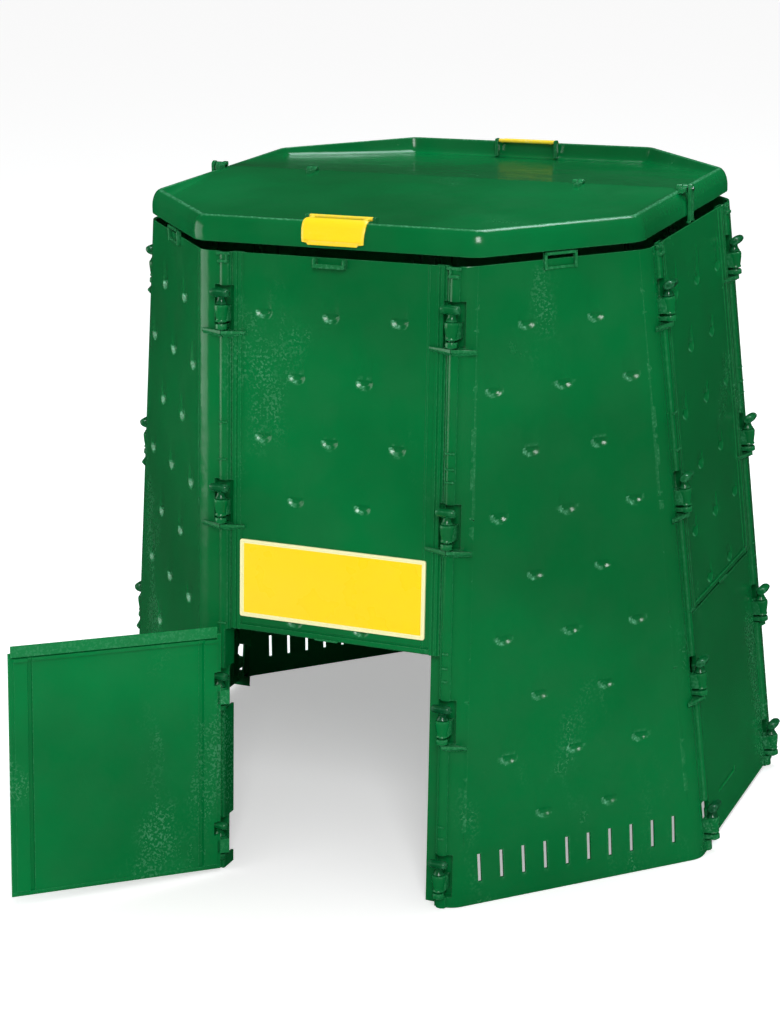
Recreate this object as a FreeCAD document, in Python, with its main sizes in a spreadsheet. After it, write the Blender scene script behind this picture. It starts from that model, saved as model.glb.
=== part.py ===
import FreeCAD, Part
import math
import os

import Sketcher
from FreeCAD import Placement, Rotation, Vector

# An eight-sided garden composter in moulded plastic: four leaning walls with a door under each,
# four corner panels between them, T-headed pins through every seam, and a dished lid in two halves
# hinged along the middle.  Z is up, the origin is the middle of the base, the front is towards -Y.

DIMENSIONS = {
    # the leaning eight-sided body
    "body_height": 1000, "base_apothem": 533, "top_apothem": 432, "face_half_width": 222,
    "wall": 4,
    # the seams between a wall and a corner panel
    "seam_half": 182, "seam_gap": 1, "lap_width": 22, "lap_cover": 22, "lap_thickness": 3,
    "lap_clearance": 0.3, "rail_width": 15, "rail_height": 3, "bead_width": 18, "bead_inset": 2,
    "groove_width": 4, "groove_depth": 1.5,
    # the doors
    "door_top": 402, "door_gap": 4, "ground_gap": 7, "door_edge_gap": 16, "door_hinge_gap": 18,
    "door_open_angle": 132, "lip_height": 4, "border_margin": 8, "border": 24, "border_height": 2.5,
    "finger_width": 92, "finger_height": 9, "finger_depth": 2.5, "finger_level": 68, "finger_shift": 57,
    # the pins and what they pass through
    "pin_radius": 4.5, "pin_clearance": 0.06, "pin_offset": 11, "knuckle_radius": 10.5,
    "knuckle_height": 27, "ring_height": 9, "knuckle_gap": 1.5, "neck_height": 12, "head_radius": 7,
    "head_half": 14, "head_offset": 7, "head_room": 3, "pocket_half": 17, "web_overlap": 4,
    "neck_hole_half": 12, "neck_hole_margin": 1, "top_pin_drop": 95, "level_upper": 600,
    "level_lower": 294, "level_foot": 44, "shelf_thickness": 5, "shelf_reach": 10, "shelf_half": 38,
    "shelf_gap": 1,
    # the scooped air vents of walls and corners
    "scoop_radius": 15, "scoop_length": 72, "scoop_depth": 7, "scoop_pitch": 114, "scoop_row": 97,
    "top_scoop_drop": 86, "scoop_lift": 0.6, "boss_lift": 0.3,
    # the slots along the foot of a corner panel
    "slot_width": 6, "slot_height": 46, "slot_level": 37, "slot_pitch": 37.8,
    # the plate on the front
    "plate_margin": 23, "plate_height": 125, "plate_thickness": 3, "plate_rim": 6, "plate_lift": 25,
    "plate_shift": 7,
    # the lid
    "lid_inset": 7, "lid_edge_overlap": 13, "lid_gap": 12, "lid_height": 42, "lid_wall": 4,
    "rim_width": 27, "rim_round": 13, "dish_depth": 30, "ridge_gap": 1, "lid_rest_gap": 0.3,
    "barrel_radius": 6.5, "barrel_length": 9, "barrel_gap": 0.6, "axle_radius": 3, "axle_end": 2,
    "ear_thickness": 6, "ear_gap": 1, "ear_margin": 1.5, "ear_foot_half": 13, "ear_lift": 0.3,
    "ridge_barrel_place": 240,
    # the lid's grips and their keepers
    "grip_half": 53, "grip_thickness": 4, "grip_gap": 0.4, "grip_drop": 34, "grip_barrel_radius": 5,
    "grip_barrel_gap": 0.6, "grip_pin_radius": 2.5, "grip_ear": 6, "grip_ear_rise": 4,
    "grip_ear_root": 1, "nose_half": 22, "nose_drop": 8, "nose_overlap": 2, "keeper_half": 27,
    "keeper_height": 16, "keeper_reach": 12, "keeper_bar": 4,
    # the rests that carry the lid on the corner panels
    "rest_half": 27, "rest_thickness": 6, "rest_drop": 14, "rest_window": 8, "rest_bar": 3,
}
FACES = ["front", "right", "back", "left"]
SCOOP_ROWS = 6
CORNER_SCOOP_ROWS = 9
SLOTS_EACH_SIDE = 5
ROOT2 = math.sqrt(2)
HALF_CORNER = math.tan(math.radians(22.5))
OVERRUN = 10  # how far a cutting tool runs past what it cuts


class Size:
    """A size: its number, and the expression that ties it to the sheet."""

    def __init__(self, value, text):
        self.value = value
        self.text = text

    def join(self, other, sign, value):
        return Size(value, f"({self.text} {sign} {as_size(other).text})")

    def __add__(self, other):
        return self.join(other, "+", self.value + as_size(other).value)

    def __sub__(self, other):
        return self.join(other, "-", self.value - as_size(other).value)

    def __mul__(self, other):
        return self.join(other, "*", self.value * as_size(other).value)

    def __truediv__(self, other):
        return self.join(other, "/", self.value / as_size(other).value)

    def __neg__(self):
        return Size(-self.value, f"(0 - {self.text})")


def as_size(number):
    return number if isinstance(number, Size) else Size(number, repr(float(number)))


def dim(alias):
    return Size(float(DIMENSIONS[alias]), f"dims.{alias}")


def root_of_squares(first, second):
    text = f"sqrt({first.text} * {first.text} + {second.text} * {second.text})"
    return Size(math.hypot(first.value, second.value), text)


doc = FreeCAD.newDocument("composter")
sheet = doc.addObject("Spreadsheet::Sheet", "dims")
for row, (alias, number) in enumerate(DIMENSIONS.items(), start=1):
    sheet.set(f"A{row}", alias)
    sheet.set(f"B{row}", str(number))
    sheet.setAlias(f"B{row}", alias)
doc.recompute()

wall = dim("wall")
seam = dim("seam_half")
lean = dim("base_apothem") - dim("top_apothem")
slope_length = root_of_squares(dim("body_height"), lean)
LEAN_ANGLE = math.degrees(math.atan2(lean.value, DIMENSIONS["body_height"]))
door_top = dim("door_top")
LEVELS = {
    "top": dim("body_height") - dim("top_pin_drop"), "upper": dim("level_upper"),
    "lower": dim("level_lower"), "foot": dim("level_foot"),
}
lid_apothem = dim("top_apothem") - dim("lid_inset")
lid_half_edge = dim("face_half_width") + dim("lid_edge_overlap")


# ---------------------------------------------------------------- building blocks

def bind(obj, **sizes):
    """Tie properties of an object to the sheet."""
    for name, size in sizes.items():
        obj.setExpression(name, as_size(size).text)
    return obj


def place(obj, placement):
    obj.Placement = placement
    return obj


def at(x=0, y=0, z=0, rotation=None):
    """A placement from sizes or numbers."""
    point = Vector(as_size(x).value, as_size(y).value, as_size(z).value)
    return Placement(point, rotation or Rotation())


def box(name, low, high, frame=None):
    """A box between two corners given as sizes."""
    sizes = [as_size(b) - a for a, b in zip(low, high)]
    solid = bind(doc.addObject("Part::Box", name), Length=sizes[0], Width=sizes[1], Height=sizes[2])
    return place(solid, (frame or Placement()) * at(*low))


def rod(name, radius, length, start, direction, frame=None):
    """A cylinder that starts at a point and runs along a direction."""
    solid = bind(doc.addObject("Part::Cylinder", name), Radius=radius, Height=length)
    turn = Rotation(Vector(0, 0, 1), Vector(*direction))
    return place(solid, (frame or Placement()) * at(*start, rotation=turn))


def joined(name, solids):
    if len(solids) == 1:
        return solids[0]
    result = doc.addObject("Part::MultiFuse", name)
    result.Shapes = solids
    return result


def grouped(name, solids):
    result = doc.addObject("Part::Compound", name)
    result.Links = solids
    return result


def copied(name, original, placement):
    """The same solid once more, in another place."""
    return place(grouped(name, [original]), placement)


def cut(name, base, tools):
    result = doc.addObject("Part::Cut", name)
    result.Base = base
    result.Tool = joined(name + "_tools", tools)
    return result


def common(name, first, second):
    result = doc.addObject("Part::Common", name)
    result.Base = first
    result.Tool = second
    return result


def origin_plane(body, role):
    return next(f for f in body.Origin.OriginFeatures if f.Role == role)


def polygon_sketch(body, name, points, level=0):
    """A closed outline on the body's XY plane, or at a level above it, each corner tied to the sheet."""
    sketch = body.newObject("Sketcher::SketchObject", name)
    sketch.AttachmentSupport = [(origin_plane(body, "XY_Plane"), "")]
    sketch.MapMode = "FlatFace"
    sketch.AttachmentOffset = at(0, 0, level)
    if isinstance(level, Size):
        sketch.setExpression("AttachmentOffset.Base.z", level.text)
    places = [Vector(as_size(x).value, as_size(y).value, 0) for x, y in points]
    for i, start in enumerate(places):
        sketch.addGeometry(Part.LineSegment(start, places[(i + 1) % len(places)]), False)
    for i, (x, y) in enumerate(points):
        sketch.addConstraint(Sketcher.Constraint("Coincident", i, 2, (i + 1) % len(points), 1))
        for kind, size in (("DistanceX", as_size(x)), ("DistanceY", as_size(y))):
            index = sketch.addConstraint(Sketcher.Constraint(kind, -1, 1, i, 1, size.value))
            sketch.setExpression(f"Constraints[{index}]", size.text)
    return sketch


def rectangle(x0, y0, x1, y1):
    return [(x0, y0), (x1, y0), (x1, y1), (x0, y1)]


def pad(body, sketch, length, inward=False):
    feature = body.newObject("PartDesign::Pad", sketch.Name + "_pad")
    feature.Profile = sketch
    feature.setExpression("Length", as_size(length).text)
    feature.Reversed = inward
    return feature


def round_edges(body, names, radius):
    """Round named edges of the body as it stands."""
    base = body.Tip
    feature = body.newObject("PartDesign::Fillet", body.Name + "_rounded")
    feature.Base = (base, names)
    feature.setExpression("Radius", as_size(radius).text)
    return feature


def pocket(body, sketch, depth):
    feature = body.newObject("PartDesign::Pocket", sketch.Name + "_pocket")
    feature.Profile = sketch
    feature.setExpression("Length", as_size(depth).text)
    return feature


# ---------------------------------------------------------------- frames on the body

def face_frame(face):
    """The frame of a main face: x along it, y up its slope from the ground, z straight out of it."""
    turn = Placement(Vector(), Rotation(Vector(0, 0, 1), 90 * FACES.index(face)))
    stand = at(0, -dim("base_apothem"), 0, Rotation(Vector(1, 0, 0), 90 - LEAN_ANGLE))
    return turn * stand


def corner_frame(face):
    """The frame of the corner panel at the right of a face: upright, its diagonal side towards -Y."""
    return Placement(Vector(), Rotation(Vector(0, 0, 1), 90 * FACES.index(face) + 45))


def up_slope(height):
    """The distance up a main face's slope for a height above the ground."""
    return height * (slope_length / dim("body_height"))


# ---------------------------------------------------------------- pins and knuckles, in a face's frame

half_knuckle = dim("knuckle_height") / 2
ring_drop = half_knuckle + dim("knuckle_gap") + dim("ring_height")
head_rise = half_knuckle + dim("neck_height") + dim("head_radius")


def ordered(first, second):
    """Two sizes, the smaller one first."""
    return sorted((first, second), key=lambda size: size.value)


def seam_pin():
    """The T-headed pin that goes through a seam, its middle at the origin and its shaft along Y."""
    name = "seam_pin"
    offset, head_z = dim("pin_offset"), dim("pin_offset") + dim("head_offset")
    half, radius, neck = dim("head_half"), dim("pin_radius"), dim("pin_radius") * 0.8
    shaft = rod(name + "_shaft", radius, ring_drop + head_rise, (0, -ring_drop, offset), (0, 1, 0))
    bar = rod(name + "_bar", dim("head_radius"), half * 2, (-half, head_rise, head_z), (1, 0, 0))
    elbow = box(name + "_elbow", (-neck, head_rise - radius, offset), (neck, head_rise + neck, head_z))
    return joined(name, [shaft, elbow, bar])


def knuckle(name, side, level, towards, frame, ring=False):
    """A barrel, or the ring under it, and its web: towards -1 joins it to the wall, +1 to the corner."""
    x = seam * side
    start = up_slope(LEVELS[level]) - (ring_drop if ring else half_knuckle)
    length = dim("ring_height") if ring else dim("knuckle_height")
    barrel = rod(name + "_barrel", dim("knuckle_radius"), length, (x, start, dim("pin_offset")), (0, 1, 0),
                 frame)
    low, high = ordered(x, x + (dim("pocket_half") + dim("web_overlap")) * side * towards)
    web = box(name + "_web", (low, start, -wall), (high, start + length, dim("rail_height")), frame)
    return [barrel, web]


def bore(name, side, level, frame):
    """The hole for a pin, through barrel and ring."""
    start = up_slope(LEVELS[level]) - ring_drop - OVERRUN
    length = ring_drop + half_knuckle + OVERRUN * 2
    radius = dim("pin_radius") + dim("pin_clearance")
    return rod(name, radius, length, (seam * side, start, dim("pin_offset")), (0, 1, 0), frame)


def pin_pocket(name, side, level, frame):
    """The window that bares a pin, its knuckles and its head, down to the lap behind."""
    centre = up_slope(LEVELS[level])
    low = centre - ring_drop - dim("knuckle_gap")
    high = centre + head_rise + dim("head_radius") + dim("head_room")
    half = dim("pocket_half")
    x = seam * side
    depth = wall + dim("lap_clearance") / 2
    return box(name, (x - half, low, -depth), (x + half, high, dim("knuckle_radius") * 3), frame)


def neck_hole(name, side, level, frame):
    """The hole right through the lap beside a pin's neck."""
    margin = dim("neck_hole_margin")
    low = up_slope(LEVELS[level]) + half_knuckle + margin
    half = dim("neck_hole_half")
    x = seam * side
    return box(name, (x - half, low, -wall * 4), (x + half, low + dim("neck_height") - margin * 2, wall),
               frame)


def shelf(name, side, level, towards, frame):
    """The small shelf under a pin's pocket."""
    top = up_slope(LEVELS[level]) - ring_drop - dim("knuckle_gap") - dim("shelf_gap")
    x = seam * side
    low, high = ordered(x + dim("seam_gap") * side * towards, x + dim("shelf_half") * side * towards)
    return box(name, (low, top - dim("shelf_thickness"), -wall / 2), (high, top, dim("shelf_reach")), frame)


# ---------------------------------------------------------------- scoops

def scoop(name, x, y, radius, lift, frame):
    """A groove that deepens down the wall and ends in a round ledge."""
    run = math.hypot(DIMENSIONS["scoop_length"], DIMENSIONS["scoop_depth"])
    direction = Vector(0, -DIMENSIONS["scoop_length"], -DIMENSIONS["scoop_depth"])
    start = Vector(as_size(x).value, as_size(y).value, DIMENSIONS["scoop_radius"] + lift)
    end = start + direction
    length = root_of_squares(dim("scoop_length"), dim("scoop_depth"))
    barrel = bind(doc.addObject("Part::Cylinder", name + "_run"), Radius=radius, Height=length)
    turn = Rotation(Vector(0, 0, 1), direction / run)
    place(barrel, frame * Placement(start, turn))
    tip = bind(doc.addObject("Part::Sphere", name + "_tip"), Radius=radius)
    place(tip, frame * Placement(end, Rotation()))
    return [barrel, tip]


def scoop_places(rows, wide_first, top_row):
    """Centres of the staggered rows, three and two to a row."""
    places = []
    for row in range(rows):
        wide = (row % 2 == 0) == wide_first
        steps = (-1, 0, 1) if wide else (-0.5, 0.5)
        level = top_row - row * DIMENSIONS["scoop_row"]
        places += [(step * DIMENSIONS["scoop_pitch"], level) for step in steps]
    return places


def add_scoops(name, base, places, frame, half_width, low, high):
    """Hollow the scoops out of a panel, with a boss behind each so that the wall stays whole."""
    rise = DIMENSIONS["scoop_length"]
    bosses, hollows = [], []
    for i, (x, y) in enumerate(places):
        bosses += scoop(f"{name}_boss{i}", x, y + rise, dim("scoop_radius") + wall,
                        DIMENSIONS["boss_lift"], frame)
        hollows += scoop(f"{name}_hollow{i}", x, y + rise, dim("scoop_radius"),
                         DIMENSIONS["scoop_lift"], frame)
    behind = box(name + "_behind", (-half_width, low, -wall * 8), (half_width, high, -wall / 2), frame)
    kept = common(name + "_bosses", joined(name + "_boss_set", bosses), behind)
    return cut(name, joined(name + "_backed", [base, kept]), hollows)


# ---------------------------------------------------------------- walls and doors

half_plate = seam - dim("seam_gap") / 2
door_high = door_top - dim("door_gap") / 2
wall_low = door_top + dim("door_gap") / 2
UPPER_LEVELS = ("top", "upper")
DOOR_LEVELS = ("lower", "foot")


def plate_body(name, x0, y0, x1, y1):
    """A flat plate under the face's own plane."""
    body = doc.addObject("PartDesign::Body", name)
    pad(body, polygon_sketch(body, name + "_outline", rectangle(x0, y0, x1, y1)), wall, inward=True)
    return body


def wall_panel():
    """A wall over its door, in its face's frame."""
    name = "wall_panel"
    body = plate_body(name + "_body", -half_plate, wall_low, half_plate, slope_length)
    for side in (-1, 1):
        low, high = ordered((half_plate - dim("rail_width")) * side, half_plate * side)
        rail = polygon_sketch(body, f"{name}_rail{side + 1}", rectangle(low, wall_low, high, slope_length))
        pad(body, rail, dim("rail_height"))
        middle = (half_plate - dim("rail_width") / 4) * side
        half_groove = dim("groove_width") / 2
        groove = rectangle(middle - half_groove, wall_low, middle + half_groove, slope_length)
        pocket(body, polygon_sketch(body, f"{name}_groove{side + 1}", groove, dim("rail_height")),
               dim("groove_depth"))
    field = half_plate - dim("rail_width")
    lip_half = half_plate - dim("lap_width") - dim("seam_gap")
    lip = polygon_sketch(body, name + "_lip",
                         rectangle(-lip_half, slope_length - wall * 2, lip_half, slope_length))
    pad(body, lip, wall * 3, inward=True)
    sill = polygon_sketch(body, name + "_sill", rectangle(-field, wall_low, field, wall_low + wall * 2))
    pad(body, sill, dim("rail_height"))
    local = Placement()
    top_row = up_slope(dim("body_height") - dim("top_scoop_drop")).value
    scooped = add_scoops(name + "_scooped", body, scoop_places(SCOOP_ROWS, True, top_row), local, seam,
                         wall_low, slope_length)
    adds, cuts, windows = [], [], []
    for side in (-1, 1):
        for level in UPPER_LEVELS:
            mark = f"{name}_{level}{side + 1}"
            windows.append(pin_pocket(mark + "_window", side, level, local))
            adds += knuckle(mark + "_knuckle", side, level, -1, local)
            adds.append(shelf(mark + "_shelf", side, level, -1, local))
            cuts.append(bore(mark + "_bore", side, level, local))
    windowed = cut(name + "_windowed", scooped, windows)
    return cut(name, joined(name + "_whole", [windowed] + adds), cuts)


def keeper(name, frame):
    """The loop at the top of a wall that the lid's grip closes over."""
    half, reach, bar = dim("keeper_half"), dim("keeper_reach"), dim("keeper_bar")
    low = slope_length - dim("keeper_height")
    front = box(name + "_keeper_bar", (-half, low, reach - bar), (half, low + bar * 2, reach), frame)
    posts = [box(f"{name}_keeper_post{side}", (x - bar / 2, low, -wall / 2),
                 (x + bar / 2, slope_length, reach), frame)
             for side, x in (("left", -half + bar / 2), ("right", half - bar / 2))]
    return [front] + posts


def door():
    """A door flap on two knuckles at its left edge, shut, in its face's frame."""
    name = "door"
    left = -seam + dim("door_hinge_gap")
    right = seam - dim("door_edge_gap")
    body = plate_body(name + "_body", left, dim("ground_gap"), right, door_high)
    margin = dim("border_margin")
    low, high = dim("ground_gap") + margin, door_high - margin
    pad(body, polygon_sketch(body, name + "_lip", rectangle(left + margin, high, right - margin, high + wall)),
        wall + dim("lip_height"), inward=True)
    for label, x in (("left", left + margin), ("right", right - margin - dim("border"))):
        strip = rectangle(x, low, x + dim("border"), high)
        pad(body, polygon_sketch(body, f"{name}_{label}_border", strip), wall + dim("border_height"),
            inward=True)
    middle = -dim("finger_shift")
    level = dim("finger_level")
    finger = rectangle(middle - dim("finger_width") / 2, level,
                       middle + dim("finger_width") / 2, level + dim("finger_height"))
    pocket(body, polygon_sketch(body, name + "_finger", finger), dim("finger_depth"))
    local = Placement()
    adds, cuts = [body], []
    for level_name in DOOR_LEVELS:
        adds += knuckle(f"{name}_{level_name}_knuckle", -1, level_name, -1, local)
        cuts.append(bore(f"{name}_{level_name}_bore", -1, level_name, local))
    return cut(name, joined(name + "_whole", adds), cuts)


def swing(angle):
    """The turn of a door out about its pins."""
    axis = Vector(-seam.value, 0, DIMENSIONS["pin_offset"])
    return Placement(Vector(), Rotation(Vector(0, 1, 0), -angle), axis)


# ---------------------------------------------------------------- corner panels

def corner_outline(apothem):
    """The corner panel's section, in its own frame, for a body apothem: its diagonal side faces -Y."""
    half = (apothem - dim("face_half_width")) / ROOT2
    away = -(apothem + dim("face_half_width")) / ROOT2
    wrap = dim("face_half_width") - seam - dim("seam_gap") / 2
    lap = wall + dim("lap_clearance")
    depths = ((0, 0), (wrap, 0), (wrap, lap), (wrap + dim("lap_width"), lap),
              (wrap + dim("lap_width"), lap + dim("lap_thickness")),
              (wrap - dim("lap_cover"), lap + dim("lap_thickness")), (wrap - dim("lap_cover"), wall))
    right = [(half + (as_size(along) - depth) / ROOT2, away + (as_size(along) + depth) / ROOT2)
             for along, depth in depths]
    right.append((half - wall * HALF_CORNER, away + wall))
    return right + [(-x, y) for x, y in reversed(right)]


def corner_panel():
    """The panel between two faces, wrapped round both of its corners to the seams, in its own frame."""
    name = "corner_panel"
    body = doc.addObject("PartDesign::Body", name + "_body")
    low = polygon_sketch(body, name + "_foot", corner_outline(dim("base_apothem")))
    high = polygon_sketch(body, name + "_head", corner_outline(dim("top_apothem")), dim("body_height"))
    loft = body.newObject("PartDesign::AdditiveLoft", name + "_loft")
    loft.Profile = low
    loft.Sections = [high]
    loft.Ruled = True
    spread = (dim("base_apothem") + dim("face_half_width")) / ROOT2
    diagonal_lean = math.degrees(math.atan2((lean / ROOT2).value, DIMENSIONS["body_height"]))
    side_frame = at(0, -spread, 0, Rotation(Vector(1, 0, 0), 90 - diagonal_lean))
    top_row = (dim("body_height") - dim("top_scoop_drop")).value
    scooped = add_scoops(name + "_scooped", body, scoop_places(CORNER_SCOOP_ROWS, False, top_row),
                         side_frame, seam, 0, slope_length)
    windows, adds, cuts = [], [], []
    for i in range(-SLOTS_EACH_SIDE, SLOTS_EACH_SIDE):
        x = dim("slot_pitch") * (i + 0.5)
        windows.append(box(f"{name}_slot{i + SLOTS_EACH_SIDE}",
                           (x - dim("slot_width") / 2, dim("slot_level"), -wall * 4),
                           (x + dim("slot_width") / 2, dim("slot_level") + dim("slot_height"), wall * 4),
                           side_frame))
    to_panel = corner_frame("front").inverse()
    for side, neighbour in ((1, "front"), (-1, "right")):
        local = to_panel * face_frame(neighbour)
        bead_windows = []
        for level in LEVELS:
            mark = f"{name}_{level}{side + 1}"
            windows.append(pin_pocket(mark + "_window", side, level, local))
            bead_windows.append(pin_pocket(mark + "_bead_window", side, level, local))
            windows.append(neck_hole(mark + "_neck", side, level, local))
            adds += knuckle(mark + "_ring", side, level, 1, local, ring=True)
            if side == 1 and level in DOOR_LEVELS:
                adds += knuckle(mark + "_knuckle", side, level, 1, local)
            if level != "foot":
                adds.append(shelf(mark + "_shelf", side, level, 1, local))
            cuts.append(bore(mark + "_bore", side, level, local))
        start = seam + dim("seam_gap") / 2
        near, far = ordered(start * side, (start + dim("bead_width")) * side)
        bead = box(f"{name}_bead{side + 1}", (near, dim("bead_inset"), -wall / 2),
                   (far, slope_length - dim("bead_inset"), dim("rail_height")), local)
        adds.append(cut(f"{name}_bead_cut{side + 1}", bead, bead_windows))
    adds.append(lid_rest(name))
    panel = cut(name + "_windowed", scooped, windows)
    return cut(name, joined(name + "_whole", [panel] + adds), cuts)


def lid_rest(name):
    """The bracket at the top of a corner panel that the lid lies on."""
    out = (dim("top_apothem") + dim("face_half_width")) / ROOT2
    half, thick = dim("rest_half"), dim("rest_thickness")
    low = dim("body_height") - dim("rest_drop")
    high = dim("body_height") + dim("lid_gap") - dim("lid_rest_gap")
    bar = high - dim("rest_bar")
    plate = box(name + "_rest", (-half, -out - thick, low), (half, -out + wall / 2, high))
    hole = box(name + "_rest_window", (-half + wall, -out - thick * 2, bar - dim("rest_window")),
               (half - wall, -out - wall / 4, bar))
    return cut(name + "_rest_cut", plate, [hole])


# ---------------------------------------------------------------- plate on the front

def name_plate():
    """A bare plate with a raised rim, on the front wall just over the door."""
    half, thick, rim = seam - dim("plate_margin"), dim("plate_thickness"), dim("plate_rim")
    low = up_slope(door_top + dim("plate_lift"))
    high = low + dim("plate_height")
    shift = dim("plate_shift")
    body = doc.addObject("PartDesign::Body", "label_plate")
    pad(body, polygon_sketch(body, "label_outline", rectangle(shift - half, low, shift + half, high)), thick)
    inner = rectangle(shift - half + rim, low + rim, shift + half - rim, high - rim)
    pocket(body, polygon_sketch(body, "label_field", inner, thick), thick / 3)
    return place(body, face_frame("front"))


# ---------------------------------------------------------------- lid

lid_low = dim("body_height") + dim("lid_gap")
lid_top = lid_low + dim("lid_height")


def half_octagon(inset, back_gap):
    """The front half of the lid's outline, drawn in from the edge by an inset."""
    apothem = lid_apothem - inset
    edge = lid_half_edge - as_size(inset) * HALF_CORNER
    back = -as_size(back_gap)
    return [(apothem, back), (-apothem, back), (-apothem, -edge), (-edge, -apothem),
            (edge, -apothem), (apothem, -edge)]


def lid_prism(name, inset, back_gap, low, height):
    body = doc.addObject("PartDesign::Body", name)
    pad(body, polygon_sketch(body, name + "_outline", half_octagon(inset, back_gap), low), height)
    return body


def sloping_block(name, drop):
    """A block over the lid's floor: its underside falls from the ridge to the front rim."""
    run = lid_apothem - dim("rim_width")
    fall = math.degrees(math.atan2(DIMENSIONS["dish_depth"], run.value))
    reach = lid_apothem * 1.2
    solid = bind(doc.addObject("Part::Box", name), Length=reach * 2, Width=reach, Height=dim("lid_height") * 3)
    turn = Rotation(Vector(1, 0, 0), fall)
    start = turn.multVec(Vector(-reach.value, -reach.value, 0))
    top = Vector(0, 0, (lid_top - drop).value)
    return place(solid, Placement(start + top, turn))


def hinge_barrel(name, x, own):
    """One half's barrel on the lid's hinge line, or the clearance that the other half has for it."""
    radius = dim("barrel_radius") + (0 if own else dim("barrel_gap"))
    slack = as_size(0) if own else dim("barrel_gap")
    return rod(name, radius, dim("barrel_length") + slack * 2, (x - slack, 0, lid_top), (1, 0, 0))


def barrel_starts(which):
    """Where a half's barrels start along the hinge line: one at each end, one in each pair on the ridge."""
    pitch = dim("barrel_length") + dim("barrel_gap")
    end = lid_apothem - dim("barrel_gap")
    outer, inner = end - dim("barrel_length"), end - dim("barrel_length") - pitch
    ridge = dim("ridge_barrel_place")
    if which == "front":
        return [outer, -end, ridge, -ridge - dim("barrel_length")]
    return [inner, -end + pitch, ridge - pitch, -ridge - dim("barrel_length") + pitch]


def lid_half(which):
    name = f"lid_{which}_half"
    mirrored = which == "back"
    gap = dim("ridge_gap") / 2
    shell = lid_prism(name + "_outer", 0, gap, lid_low, dim("lid_height"))
    doc.recompute()
    round_edges(shell, outer_edges(shell.Shape, lid_top.value), dim("rim_round"))
    rim = dim("rim_width")
    dish = common(name + "_dish", lid_prism(name + "_inner", rim, -OVERRUN, lid_low, dim("lid_height") * 2),
                  sloping_block(name + "_floor_top", as_size(0)))
    core = common(name + "_core",
                  lid_prism(name + "_core_edge", rim - dim("lid_wall"), -OVERRUN, lid_low - OVERRUN * 2,
                            dim("lid_height") * 2),
                  sloping_block(name + "_floor_under", dim("lid_wall")))
    hollow = lid_prism(name + "_hollow", dim("lid_wall"), gap + dim("lid_wall"), lid_low - OVERRUN,
                       dim("lid_height") + OVERRUN - dim("lid_wall"))
    soffit = cut(name + "_soffit", hollow, [core])
    other = "front" if mirrored else "back"
    reliefs = [hinge_barrel(f"{name}_relief{i}", x, False) for i, x in enumerate(barrel_starts(other))]
    barrels = [hinge_barrel(f"{name}_barrel{i}", x, True) for i, x in enumerate(barrel_starts(which))]
    holes = [hinge_hole(f"{name}_hole{i}", x) for i, x in enumerate(barrel_starts(which))]
    carved = cut(name + "_carved", shell, [dish, soffit] + reliefs)
    ears = grip_ears(name)
    if mirrored:
        turned = joined(name + "_turned", [carved] + ears)
        flipped = place(grouped(name + "_flipped", [turned]), at(0, 0, 0, Rotation(Vector(0, 0, 1), 180)))
        adds = [flipped] + barrels
    else:
        adds = [carved] + ears + barrels
    return cut(name, joined(name + "_whole", adds), holes + grip_pin_holes(name, mirrored))


def outer_edges(shape, top):
    """The edges round the top of the rim and up its corners, but not along the hinge line."""
    names = []
    for i, edge in enumerate(shape.Edges, start=1):
        middle = edge.CenterOfMass
        upright = abs(edge.tangentAt(edge.FirstParameter).z) > 0.9
        off_hinge = middle.y < -OVERRUN
        if off_hinge and (upright or abs(middle.z - top) < 0.1):
            names.append(f"Edge{i}")
    return names


def hinge_hole(name, x):
    return rod(name, dim("axle_radius") + dim("pin_clearance"), dim("barrel_length") + dim("barrel_gap") * 2,
               (x - dim("barrel_gap"), 0, lid_top), (1, 0, 0))


def hinge_axles():
    """The end axles that the body's ears hold, and the pins through the ridge's barrels."""
    pair = dim("barrel_length") * 2 + dim("barrel_gap")
    inner = lid_apothem - dim("barrel_gap") - pair
    length = (lid_apothem - inner) + dim("ear_gap") + dim("ear_thickness") + dim("axle_end")
    axles = [rod("right_axle", dim("axle_radius"), length, (inner, 0, lid_top), (1, 0, 0)),
             rod("left_axle", dim("axle_radius"), length, (-inner - length, 0, lid_top), (1, 0, 0))]
    grouped("lid_end_axles", axles)
    ridge = dim("ridge_barrel_place") - dim("barrel_length") - dim("barrel_gap")
    pins = [rod("right_ridge_pin", dim("axle_radius"), pair, (ridge, 0, lid_top), (1, 0, 0)),
            rod("left_ridge_pin", dim("axle_radius"), pair, (-ridge - pair, 0, lid_top), (1, 0, 0))]
    grouped("lid_ridge_pins", pins)


def hinge_ear(side):
    """The ear on the top of a side wall that holds one end of the lid's hinge."""
    name = f"lid_hinge_ear_{side}"
    sign = 1 if side == "right" else -1
    near = (lid_apothem + dim("ear_gap")) * sign
    first, last = ordered(near, near + dim("ear_thickness") * sign)
    half, foot_half = dim("barrel_radius") + dim("ear_margin"), dim("ear_foot_half")
    low = dim("body_height") + dim("ear_lift")
    arm = box(name + "_arm", (first, -half, low), (last, half, lid_top))
    crown = rod(name + "_crown", half, dim("ear_thickness"), (first, 0, lid_top), (1, 0, 0))
    foot_first, foot_last = ordered(near, (dim("top_apothem") + wall) * sign)
    foot = box(name + "_foot", (foot_first, -foot_half, low), (foot_last, foot_half, low + wall))
    hole = rod(name + "_hole", dim("axle_radius") + dim("pin_clearance"),
               dim("ear_thickness") + OVERRUN * 2, (first - OVERRUN, 0, lid_top), (1, 0, 0))
    return cut(name, joined(name + "_whole", [arm, crown, foot]), [hole])


# ---------------------------------------------------------------- grips

rim_inner = lid_apothem - dim("rim_width")
grip_pivot_y = -rim_inner + dim("grip_barrel_radius") + dim("grip_barrel_gap")
grip_pivot_z = lid_top + dim("grip_gap")


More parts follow.
